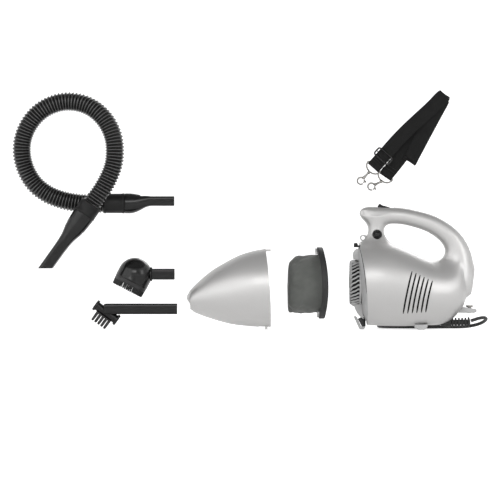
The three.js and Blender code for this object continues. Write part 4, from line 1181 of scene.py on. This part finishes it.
def release_button():
    """A domed black button with a ring sunk in its face."""
    x, z = BUTTON
    profile = [(0, 3), (9.5, 3), (9.5, 7.8), (17.6, 7.8), (18.6, 7.3), (19, 6.4), (18.5, 5.6), (17.9, 5.2),
               (17.9, 4.6), (18.6, 4.2), (19.2, 3), (19.4, 1.2), (19.4, 0)]
    shape = turned(spline(profile, 2), 64, (x, 2.6, z), (0, -1, 0))
    build("release_button_cap", shape, "button", "gloss_black", ["release_button"], angle=50)


def button_collar():
    """The thin raised ring of the near shell round the button."""
    x, z = BUTTON
    profile = [(0, 8.5), (4.2, 8.5), (4.7, 8.9), (4.2, 9.4), (0, 9.9)]
    shape = turned(profile, 64, (x, -11.5, z), (0, -1, 0), joined=True)
    build("button_collar", shape, "body", "silver_paint", angle=60)


def chin():
    """The pale hooked lip below the plate, and the dark recess behind it."""
    lip = [(-119.4, 24.2), (-120, 22.2), (-110.4, 1.6), (-108.9, 0.5), (-103, 0.4), (-99.6, 3.4),
           (-99.6, 4.9), (-105.6, 4.9), (-107.2, 5.8), (-114.6, 21.8), (-116.6, 24.2)]
    build("chin_lip", side_cut(lip, 8), "body", "pale_trim", ["lower_hook"], edge=0.7)
    insert = [(-112.8, 19), (-105.6, 5.4), (-99.2, 5.4), (-99.2, 21), (-104, 23.8)]
    build("chin_insert", side_cut(insert, 7), "body", "black_rubber", ["hinge_insert"], edge=0.5)


def latch():
    """The black tooth that holds the cone's upper tabs."""
    tooth = [(-120, 148), (-120, 154.4), (-118.4, 155.8), (-114.6, 155.8), (-113.2, 153.4), (-113, 151.5),
             (-101, 151.5), (-101, 148)]
    build("latch_tooth", side_cut(tooth, 6.5), "latch", "satin_black", ["latch_hook"], edge=0.5)


# ---------------------------------------------------------------- small pieces on the body


def strap_lugs():
    """The two pale lugs that the strap hooks on to, and the steel eyelet of the rear one."""
    front = [(-91.5, 153.5), (-91.5, 168), (-103.6, 170.8), (-107, 169.8), (-109.2, 166.8), (-109.2, 163),
             (-107, 160), (-103.5, 158.6), (-96, 153.5)]
    eye = rod((-103.6, -20, 164.8), (-103.6, 20, 164.8), 3.1)
    build("front_lug", side_cut(front, 2.5), "body", "pale_trim", ["front_strap_lug"], edge=0.6,
          cutters=[eye])
    rear = [(59, 30), (95.7, 29.7), (100.6, 32), (100.2, 36.5), (70, 41.8), (59, 41.8)]
    hole = rod((88, 0, 0), (88, 0, 80), 3.8)
    build("rear_lug", side_cut(rear, 8), "body", "pale_trim", ["rear_strap_lug"], edge=0.9,
          cutters=[hole])
    profile = [(0, 2.7), (0, 3.4), (10.9, 3.5), (11.2, 6), (12.4, 6.5), (14.2, 6), (14.9, 4.4), (14.6, 2.9)]
    eyelet = turned(profile, 48, (88, 0, 29.3), (0, 0, 1), joined=True)
    build("rear_eyelet_ring", eyelet, "body", "nickel_steel", ["rear_eyelet"], angle=50)


def foot():
    """The half-round pad that the body stands on."""
    outline = [(-11.8, 9.5), (-11.4, 6.4), (-9.6, 3), (-7, 0.8), (-5, 0.05), (5, 0.05), (7, 0.8), (9.6, 3),
               (11.4, 6.4), (11.8, 9.5)]
    build("foot_pad", side_cut(outline, 25), "body", "pale_trim", ["foot"], edge=0.8)


def power_switch():
    """The sliding switch on top of the grip, with its thumb ridge and fine grips."""
    outline = [(-77, 215.6), (-55.6, 215.6), (-55.6, 219.6), (-62, 221.6), (-69, 223.4), (-72.6, 225.8),
               (-74.6, 225.8), (-77, 222)]
    grips = [block((-60 - 2.5 * k, -6, 220.9 + 0.7 * k), (-59.3 - 2.5 * k, 6, 227)) for k in range(3)]
    build("switch_thumb", side_cut(outline, 5), "slider", "satin_black", ["switch_slider"], edge=0.5,
          cutters=grips)


RELIEF_PITCH = 5.9


def strain_relief():
    """The moulded rubber sleeve of the lead: a wedge on the body, then flexing ribs."""
    profile = [(0, 1.2), (4, 3.2), (11, 5.6), (18, 7.3), (25, 8.2), (26, 7.4), (26.4, 4.8)]
    for k in range(6):
        start = 27.4 + RELIEF_PITCH * k
        tall = 9 if k == 5 else 8.5 - 0.08 * k
        profile += [(start, 4.7), (start + 0.3, tall - 0.5), (start + 0.9, tall), (start + 2.5, tall),
                    (start + 3.1, tall - 0.5), (start + 3.4, 4.7)]
    profile += [(61.2, 4.4), (61.4, 3.4)]
    sleeve = turned([(along * 0.995, radius) for along, radius in profile], 64, (28.4, 0, 12),
                    (1, 0, 0.022))
    neck = rod((48, 0, 14), (31, 0, 29.4), 4.4)
    clear = loft([oval_ring(row, -0.3) for row in stations(BODY, 4)])
    obj = mesh_object("strain_relief_sleeve", sleeve, MATERIALS["black_rubber"])
    carve(obj, [clear])
    carve(obj, [neck], "UNION")
    smooth(obj, 40)
    seat(obj, "body", ["strain_relief"])


# ---------------------------------------------------------------- hose and its ends

HOSE_ROUTE = [
    (-571.7, 16, 227.2), (-594, 16, 227), (-618, 15.5, 228.2), (-646, 14.5, 233.5), (-673, 13, 244.5),
    (-695, 11, 262), (-710, 9, 286), (-717.5, 7, 314), (-716, 5, 342), (-705, 3, 369), (-686, 1, 391),
    (-661, -1, 405), (-634, -3, 410), (-606, -6, 405.5), (-582, -9, 392), (-563.5, -12, 371),
    (-552.5, -15, 346), (-549.5, -17.5, 319), (-552.5, -19.5, 294), (-562, -21, 270), (-575, -22, 247.5),
    (-590.5, -22, 226),
]
HOSE_RADIUS = 17
RIB_PITCH = 5.6
RIB_DEPTH = 2.8
RIB_STEPS = 8
NOZZLE_DIRECTION = Vector((-0.583, 0, -0.812)).normalized()


def hose():
    """The ribbed hose in its loop, from the adaptor's cuff to the nozzle's."""
    route = even(spline(HOSE_ROUTE, 12), RIB_PITCH / RIB_STEPS)
    radii = []
    for k in range(len(route)):
        crest = (1 + math.cos(2 * math.pi * k / RIB_STEPS)) / 2
        radii.append(HOSE_RADIUS + 0.4 - RIB_DEPTH * (1 - crest ** 0.7))
    piece = build("hose_ribbed", tube(route, radii, 40), "hose_set", "hose_black", ["hose"], angle=80)
    ends = [*cuffs(), adaptor(), nozzle()]


def nozzle_place():
    turn = math.atan2(-NOZZLE_DIRECTION.z, -NOZZLE_DIRECTION.x)
    return Matrix.Translation(HOSE_ROUTE[-1]) @ Matrix.Rotation(-turn, 4, "Y")


def cuff_profile(length, radius):
    """A soft cuff: a rolled lip at the hose, and a shallow waist."""
    return [(0, radius - 3), (0.3, radius - 1), (1, radius - 0.2), (2, radius), (4, radius),
            (5, radius - 0.7), (length - 5, radius - 0.5), (length - 4, radius), (length - 1, radius),
            (length - 0.2, radius - 0.8), (length, radius - 3), (length, 0)]


def cuffs():
    x, y, z = HOSE_ROUTE[0]
    near = turned(cuff_profile(38.4, 18.2), 96, (x + 0.3, y, z))
    far = turned(cuff_profile(23.7, 20.2), 96, (-0.3, 0, 0), (-1, 0, 0)).moved(nozzle_place())
    return [
        build("cuff_at_adaptor", near, "hose_set", "satin_black", ["adaptor_cuff"], angle=50),
        build("cuff_at_nozzle", far, "hose_set", "satin_black", ["nozzle_cuff"], angle=50),
    ]


def tool_loft(rows, steps=6, y=0.0, sides=96):
    """A tool's body through rows of X, width, height, middle height and squareness."""
    rows = spline(rows, steps)
    return loft([superellipse(x, y, z, wide, high, power, sides) for x, wide, high, z, power in rows])


def adaptor():
    """The tapered end that turns the round hose into the flat tube of the tools."""
    _, y, z = HOSE_ROUTE[0]
    pipe = 231.2
    rows = [
        (-532.6, 34.4, 34.8, z, 1), (-532.2, 35.8, 36.2, z, 1), (-529, 36, 36.4, z, 1),
        (-521, 35.8, 36, z, 0.98), (-513, 34.6, 33, z + 0.4, 0.92), (-505, 32.8, 28, z + 1.4, 0.8),
        (-496, 31.2, 22, pipe - 0.8, 0.62),
        (-489, 30.3, 18.8, pipe - 0.1, 0.48), (-484, 30, 17.8, pipe, 0.4), (-470, 30, 17.8, pipe, 0.38),
        (-446, 30, 17.8, pipe, 0.38), (-445.2, 29.6, 17.4, pipe, 0.38), (-445, 28.6, 16.4, pipe, 0.38),
    ]
    bore = tool_loft([(-484, 25, 12.6, pipe, 0.4), (-440, 25, 12.6, pipe, 0.4)], 1, y, 48)
    facet = side_cut([(-505, z + 13.2), (-493.5, pipe + 9.6), (-484, pipe + 9.1), (-484, pipe + 30),
                      (-505, pipe + 30)], 30, y)
    return build("adaptor_body", tool_loft(rows, 6, y), "adaptor", "gloss_black", ["hose_adaptor"],
                 cutters=[bore, facet])


def nozzle():
    """The crevice nozzle: round socket, scooped shoulders and a flat beak cut level at its tip."""
    rows = [
        (-24.3, 38.6, 38.6, 0, 1), (-24.8, 39.6, 39.6, 0, 1), (-36, 38.6, 38.6, 0, 1),
        (-50, 36.6, 36.6, 0, 1), (-51, 35.2, 35.2, 0, 1), (-58, 35, 33.6, 0, 0.97),
        (-66, 35, 29.6, 0, 0.88), (-74, 35.2, 26, 0, 0.76), (-84, 35.8, 23.6, 0, 0.6),
        (-96, 36.6, 22.4, 0, 0.5), (-110, 37.2, 22, 0, 0.45), (-152, 38, 21.5, 0, 0.45),
    ]
    bore = tool_loft([(-170, 31, 15.6, 0, 0.45), (-100, 31, 15.6, 0, 0.45)], 1, 0, 48)
    scoop = rod((-64, 0, 27), (-100, 0, 17.6), 8.6, 48)
    shape = tool_loft(rows).moved(nozzle_place())
    cutters = [slanted_end(), bore.moved(nozzle_place()), scoop.moved(nozzle_place())]
    return build("nozzle_body", shape, "nozzle", "gloss_black", ["crevice_nozzle"], cutters=cutters)


def slanted_end():
    """Everything below the level cut of the nozzle's tip."""
    corner = nozzle_place() @ Vector((-134.8, 0, -11))
    return block((corner.x - 90, -70, corner.z - 90), (corner.x + 90, 60, corner.z))


# ---------------------------------------------------------------- brushes

BRUSH_AT = Vector((-520, 0, 87.5))
BRUSH_AXIS = Vector((0.462, 0, 0.887)).normalized()
BRUSH_RADIUS = 30.6
PIPE_Z = 99.5


def round_brush():
    """A domed head with a ring of bristles, and its flat tube."""
    outer, inner = BRUSH_RADIUS, BRUSH_RADIUS - 2.5
    rim = [(-1, 30.2), (-0.6, 30.6), (1.6, 30.9), (2.6, 30.6), (12.5, 30.6)]
    dome = [(12.5 + outer * math.sin(a), outer * math.cos(a)) for a in np.linspace(0.1, math.pi / 2, 18)]
    inside = [(12 + inner * math.sin(a), inner * math.cos(a)) for a in np.linspace(0, math.pi / 2, 14)]
    hollow = turned([(-8, inner), (0, inner)] + inside, 96, BRUSH_AT, BRUSH_AXIS)
    neck = turned([(0, 13.5), (12, 13.4), (20, 12.9), (24.2, 12.7), (25, 12.2), (25, 0)], 96,
                  (BRUSH_AT.x + 12, 0, PIPE_Z))
    socket = rod((BRUSH_AT.x + 5, 0, PIPE_Z), (BRUSH_AT.x + 50, 0, PIPE_Z), 9.3)
    build("brush_dome", turned(rim + dome, 128, BRUSH_AT, BRUSH_AXIS), "round_head", "gloss_black",
          ["brush_head"], angle=40, joins=[neck], cutters=[hollow, socket])
    bristles()
    rows = [(-482.6, 26, 18.4, PIPE_Z, 0.4), (-482, 27.6, 19.6, PIPE_Z, 0.4), (-480, 28, 20, PIPE_Z, 0.38),
            (-446, 28, 20, PIPE_Z, 0.38), (-444.2, 27.6, 19.6, PIPE_Z, 0.38), (-443.7, 26, 18.4, PIPE_Z, 0.4)]
    spigot = rod((-498, 0, PIPE_Z), (-482, 0, PIPE_Z), 9, 64, 0.6)
    bore = tool_loft([(-480, 23, 15, PIPE_Z, 0.4), (-440, 23, 15, PIPE_Z, 0.4)], 1, 0, 48)
    spigot_bore = rod((-500, 0, PIPE_Z), (-475, 0, PIPE_Z), 6.5)
    build("round_brush_tube", tool_loft(rows), "round_brush", "gloss_black", ["brush_tube"], angle=40,
          joins=[spigot], cutters=[bore, spigot_bore])


def bristles():
    """A moulded skirt holding three rows of tufts, each a bundle of tapered hairs."""
    rng = random.Random(SEED)
    side = BRUSH_AXIS.orthogonal().normalized()
    other = BRUSH_AXIS.cross(side)
    section = [(-0.2, 22.4), (-0.2, 27.8), (-1.4, 30.2), (-8, 29.9), (-8.6, 29.2), (-8.6, 23), (-8, 22.4)]
    skirt = turned(section, 128, BRUSH_AT, BRUSH_AXIS, joined=True)
    parts = [skirt]
    for radius, count in ((28.6, 46), (26.4, 42), (24.2, 38)):
        for k in range(count):
            angle = 2 * math.pi * (k + 0.5 * (radius == 26.4)) / count
            for _ in range(7):
                parts.append(hair(rng, side, other, radius, angle))
    build("brush_hair", merged(parts), "round_head", "bristle", ["brush_bristles"], angle=60)


def hair(rng, side, other, radius, angle):
    angle += rng.uniform(-0.9, 0.9) / radius
    radius += rng.uniform(-0.9, 0.9)
    out = side * math.cos(angle) + other * math.sin(angle)
    start = BRUSH_AT + out * radius - BRUSH_AXIS * 8
    end = start - BRUSH_AXIS * rng.uniform(9.6, 10.8) - out * rng.uniform(0.2, 1.4)
    end += BRUSH_AXIS.cross(out) * rng.uniform(-0.6, 0.6)
    return tube([start, start.lerp(end, 0.55), end], [0.36, 0.34, 0.2], 5)


CLAW_AT = Vector((-565.5, 0, 30.3))
CLAW_DIRECTION = Vector((0.81, 0, -0.585)).normalized()
TEETH = 5


def claw_brush():
    """The small brush: a rocking bar between two discs, a comb of thick teeth, and its flat tube."""
    place = place_along(CLAW_AT, CLAW_DIRECTION)
    disc = [(0, 0), (0, 9.4), (0.5, 10.2), (1.2, 10.5), (3.8, 10.5), (4.5, 10.2), (5, 9.4), (5, 7.2),
            (4.3, 6.6), (4.3, 3), (4.9, 2.4), (5, 0)]
    discs = [turned(disc, 64, (side * 19.99, 0, 0), (side, 0, 0)).moved(place) for side in (-1, 1)]
    build("claw_bar", roller(20, 8).moved(place), "claw_brush", "gloss_black", ["claw_head"], angle=40,
          joins=discs)
    teeth = []
    for k in range(TEETH):
        x = -13 + 26 * k / (TEETH - 1)
        outline = [(x - 2.7, -9), (x + 2.7, -9), (x + 2.3, -24.4), (x + 1.4, -26), (x - 1.4, -26),
                   (x - 2.3, -24.4)]
        teeth.append(side_cut(outline, 6).moved(place))
    back = block((-15.5, -7, -10), (15.5, 7, -7.6)).moved(place)
    build("claw_teeth", back, "claw_brush", "black_rubber", ["claw_comb"], edge=0.5, angle=40, joins=teeth,
          cutters=[roller(24, 8.3).moved(place)])
    claw_tube(place)


def roller(half, radius):
    return turned([(-half, 0), (-half, radius), (half, radius), (half, 0)], 64, (0, 0, 0))


def claw_tube(place):
    """The flat tube of the small brush, hollowed out round the bar and the discs."""
    z = CLAW_AT.z + 6.7
    start, end = CLAW_AT.x - 4, CLAW_AT.x + 122.5
    rows = [(start, 24, 17.5, z, 0.5), (start + 6, 24, 19.5, z, 0.42), (start + 40, 24, 19.5, z, 0.38),
            (end - 2, 24, 19.5, z, 0.38), (end - 0.5, 23.6, 19.1, z, 0.38), (end, 22.4, 18, z, 0.4)]
    bore = tool_loft([(start + 24, 19, 14.4, z, 0.4), (end + 8, 19, 14.4, z, 0.4)], 1, 0, 48)
    ends = [rod((side * 19.7, 0, 0), (side * 33.7, 0, 0), 10.8, 64).moved(place) for side in (-1, 1)]
    obj = mesh_object("claw_brush_tube", tool_loft(rows), MATERIALS["gloss_black"])
    carve(obj, [bore, roller(20, 8.3).moved(place), *ends])
    keep_largest(obj)
    smooth(obj, 40)
    seat(obj, "claw_brush", ["claw_tube"])


def keep_largest(obj):
    """Drops the small loose bits that a cut leaves."""
    work = bmesh.new()
    work.from_mesh(obj.data)
    left = set(work.verts)
    groups = []
    while left:
        group, edge = set(), [next(iter(left))]
        while edge:
            vertex = edge.pop()
            if vertex in group:
                continue
            group.add(vertex)
            edge += [e.other_vert(vertex) for e in vertex.link_edges if e.other_vert(vertex) not in group]
        left -= group
        groups.append(group)
    groups.sort(key=len)
    bmesh.ops.delete(work, geom=[v for group in groups[:-1] for v in group], context="VERTS")
    work.to_mesh(obj.data)
    work.free()


# ---------------------------------------------------------------- shoulder strap

WEB_WIDTH = 25
# The webbing's middle line: X, Y, Z and the angle it runs at, from the first ring to the second.
STRAP_RUN = [
    (-81.5, -6.9, 295.6, 48.4), (-62, -6.9, 317.6, 48.4), (-42, -6.9, 340.1, 48.2),
    (-22, -6.9, 360.5, 46.5), (-3, -6.7, 378.2, 46),
    (20, -6.5, 399.5, 49.5), (36, -6.2, 416.2, 51), (41.6, -5.2, 421.4, 54), (42.8, -4.2, 422.2, 56),
    (41.6, -3, 420, 58), (35, -2.6, 406.5, 60.5), (20, -2.5, 379.5, 60.5), (-2, -2.5, 338, 60.5),
    (-17, -2.4, 307, 61), (-19.4, -1.4, 303.2, 61), (-20, 0.2, 302.4, 61), (-19.4, 1.8, 303.2, 61),
    (-16.5, 2.7, 308, 60.5), (0, 2.9, 339, 60), (22, 2.9, 380, 59), (36, 2.8, 405.5, 58), (41, 2.5, 413, 57),
    (41.8, 1.8, 414.2, 56), (41, 1, 413, 55.5), (34, 0.4, 404, 55.5), (10, 0.2, 371.5, 55.5),
    (-20, 0.2, 331.5, 55), (-44, 0.2, 299.8, 55), (-60.6, 0.2, 279.4, 55.6),
]
STRAP_STEPS = 8
STRAP_FOLDS = (Vector((42.8, 0, 422.2)), Vector((41.8, 0, 414.2)))
# A section of the webbing: share of the half-width, and height.
WEB_SECTION = [(-1, -0.425), (-0.97, -0.765), (0.97, -0.765), (1, -0.425), (1, 0.425), (0.97, 0.765),
               (-0.97, 0.765), (-1, 0.425)]
LOOP_SECTION = [(-1, -0.6), (1, -0.6), (1, 0.6), (-1, 0.6)]
# The two D-rings: middle of the straight bar, direction of the webbing, and middle of the hook's claw.
RING_A = (Vector((-83.3, -6.9, 293.6)), Vector((0.664, 0, 0.748)), Vector((-107.8, -6.9, 267.3)))
RING_B = (Vector((-62, 0.2, 277.8)), Vector((0.56, 0, 0.828)), Vector((-88.6, 0.2, 257.2)))
GLIDE_ALONG = 24
BOW_DEPTH = 13
CLAW_RADIUS = 6.2


def ribbon(line, section):
    """Webbing through rows of middle, direction across and half-width, with its length.

    Its texture coordinates run across it and along it in metres, for the weave.
    """
    shape = Shape()
    travelled = 0.0
    for k, (middle, across, half) in enumerate(line):
        before, after = line[max(k - 1, 0)][0], line[min(k + 1, len(line) - 1)][0]
        ahead = (after - before).normalized()
        across = (across - ahead * across.dot(ahead)).normalized()
        out = across.cross(ahead)
        travelled += (middle - before).length * MM
        for wide, thick in section:
            shape.uvs[len(shape.points)] = (wide * WEB_WIDTH / 2 * MM, travelled)
            shape.points.append(middle + across * wide * half + out * thick)
    shape.faces = loft([[(0, 0, 0)] * len(section)] * len(line)).faces
    return shape, travelled


def strap():
    """One long webbing, folded over twice, with a slider and a swivel hook at each end."""
    line = []
    for x, y, z, angle in spline(STRAP_RUN, STRAP_STEPS):
        middle = Vector((x, y, z))
        across = Vector((math.sin(math.radians(angle)), 0, -math.cos(math.radians(angle))))
        away = min((Vector((x, 0, z)) - fold).length for fold in STRAP_FOLDS)
        pinch = 0.86 + 0.14 * math.sqrt(min(1, away / 7))
        line.append((middle, across, pinch * WEB_WIDTH / 2))
    shape, length = ribbon(line, WEB_SECTION)
    webbing_piece = mesh_object("strap_webbing", shape, MATERIALS["webbing"])
    smooth(webbing_piece, 50)
    seat(webbing_piece, "strap", ["webbing_front_run", "webbing_folded"])
    tri_glide()
    for tag, ring in (("a", RING_A), ("b", RING_B)):
        sewn_end(tag, ring[0], ring[1])
        dee_ring(tag, *ring)
        snap_hook(tag, *ring)


def tri_glide():
    """The slider's rounded frame and its middle bar, which the webbing weaves over."""
    place = place_along(RING_A[0], RING_A[1]) @ Matrix.Translation((GLIDE_ALONG, 0, 0))
    sides = 64
    loop = [Vector((squared(c, 0.35) * 7.8, -2.6, squared(s, 0.35) * 16.2)) for c, s in circle(sides)]
    rings = []
    for k in range(sides):
        ahead = (loop[(k + 1) % sides] - loop[k - 1]).normalized()
        out = ahead.cross(Vector((0, 1, 0)))
        rings.append([loop[k] + out * 1.5 * c + Vector((0, 1.15 * s, 0)) for c, s in circle(12)])
    bar = rod((0, 2.2, -17), (0, 2.2, 17), 1.1, 24, 0.4)
    legs = [rod((0, 2.2, side * 16.4), (0, -2.4, side * 16.4), 0.95, 24, 0.3) for side in (-1, 1)]
    whole = merged([loft(rings, joined=True), bar, *legs]).moved(place)
    build("tri_glide_frame", whole, "glide", "gloss_black", ["tri_glide"], angle=60)


def sewn_end(tag, start, direction):
    """The sewn loop of the webbing round the bar of its ring, and two rows of stitches."""
    place = place_along(start, direction)
    half = WEB_WIDTH / 2
    arc = [(3.1 * math.cos(a) - 0.4, 3.1 * math.sin(a)) for a in np.linspace(0.9, 2 * math.pi - 0.9, 15)]
    line = [(9, 1.6), (4, 1.9), *arc, (4, -1.9), (9, -1.6)]
    loop, _ = ribbon([(Vector((x, y, 0)), Vector((0, 0, 1)), half) for x, y in line], LOOP_SECTION)
    build(f"sewn_loop_{tag}", loop.moved(place), "strap", "webbing", angle=50)
    stitches = []
    for x in (11, 17):
        for k in range(8):
            z = -half + 3 + (WEB_WIDTH - 6) * (k + 0.5) / 8
            stitches.append(rod((x, -1.1, z - 0.9), (x, -1.1, z + 0.9), 0.28, 8, 0.15))
    build(f"stitches_{tag}", merged(stitches).moved(place), "strap", "cord_rubber")


def hook_axis(start, direction, centre):
    """The bow's outermost point, and the direction from it to the middle of the hook."""
    tip = start - direction.normalized() * BOW_DEPTH
    return tip, (centre - tip).normalized()


def dee_ring(tag, start, direction, centre):
    """The D-shaped ring: a straight bar, a bow, and the collar that the hook turns in."""
    place = place_along(start, direction)
    half = WEB_WIDTH / 2 + 1.8
    tip, axis = hook_axis(start, direction, centre)
    bow = [place @ Vector((-BOW_DEPTH * math.sin(a) ** 0.9, 0, half * math.cos(a)))
           for a in np.linspace(0.001, math.pi - 0.001, 33)]
    bar = rod(place @ Vector((0, 0, -half)), place @ Vector((0, 0, half)), 1.3, 24, 0.3)
    profile = [(-1.4, 0), (-1.2, 2.2), (-0.4, 2.7), (3.6, 2.7), (4.4, 2.3), (4.8, 1.7), (4.8, 0)]
    collar = turned(profile, 32, tip, axis)
    build(f"dee_ring_{tag}", merged([tube(bow, 1.3), bar, collar]), f"ring_{tag}", "nickel_steel",
          [f"snap_{tag}_ring"], angle=60)


def snap_hook(tag, start, direction, centre):
    """The swivel hook: a neck in the ring's collar, a round claw and its thumb gate."""
    tip, axis = hook_axis(start, direction, centre)
    side = Vector((axis.z, 0, -axis.x))
    neck_start = 5.2
    length = (centre - tip).length - neck_start - CLAW_RADIUS
    neck = turned([(0, 0), (0, 1.6), (1.2, 1.9), (length * 0.4, 1.8), (length * 0.8, 2.7), (length, 2.9),
                   (length + 0.8, 1.6), (length + 0.8, 0)], 32, tip + axis * neck_start, axis)

    def on_claw(degrees):
        angle = math.radians(degrees)
        return centre + (side * math.sin(angle) - axis * math.cos(angle)) * CLAW_RADIUS

    claw = [on_claw(degrees) for degrees in np.linspace(0, 262, 40)]
    radii = [1.6 - 0.4 * k / 39 for k in range(40)]
    build(f"snap_hook_{tag}", merged([neck, tube(claw, radii, 14)]), f"hook_{tag}", "nickel_steel",
          [f"snap_{tag}_hook"], angle=60)
    gate = tube([on_claw(degrees) for degrees in np.linspace(273, 337, 14)], 1.1, 14)
    pivot = on_claw(318)
    lever = rod(pivot, pivot - side * 4, 1.4, 20, 0.5)
    thumb = rod(pivot - side * 3.4 + axis * 1.4, pivot - side * 3.4 - axis * 1.4, 1.2, 20, 0.4)
    build(f"snap_gate_{tag}", merged([gate, lever, thumb]), f"gate_{tag}", "nickel_steel",
          [f"snap_{tag}_gate"], angle=60)


# ---------------------------------------------------------------- the whole scene

finish_cad_pieces()
studio()
housing()
nose_cone()
# black sheets behind the vent slots: painted shade
vent_shade_sheets()
front_plate()
intake_grille()
release_button()
button_collar()
chin()
latch()
strap_lugs()
foot()
power_switch()
strain_relief()
mains_lead()
filter_set()
hose()
round_brush()
claw_brush()
strap()
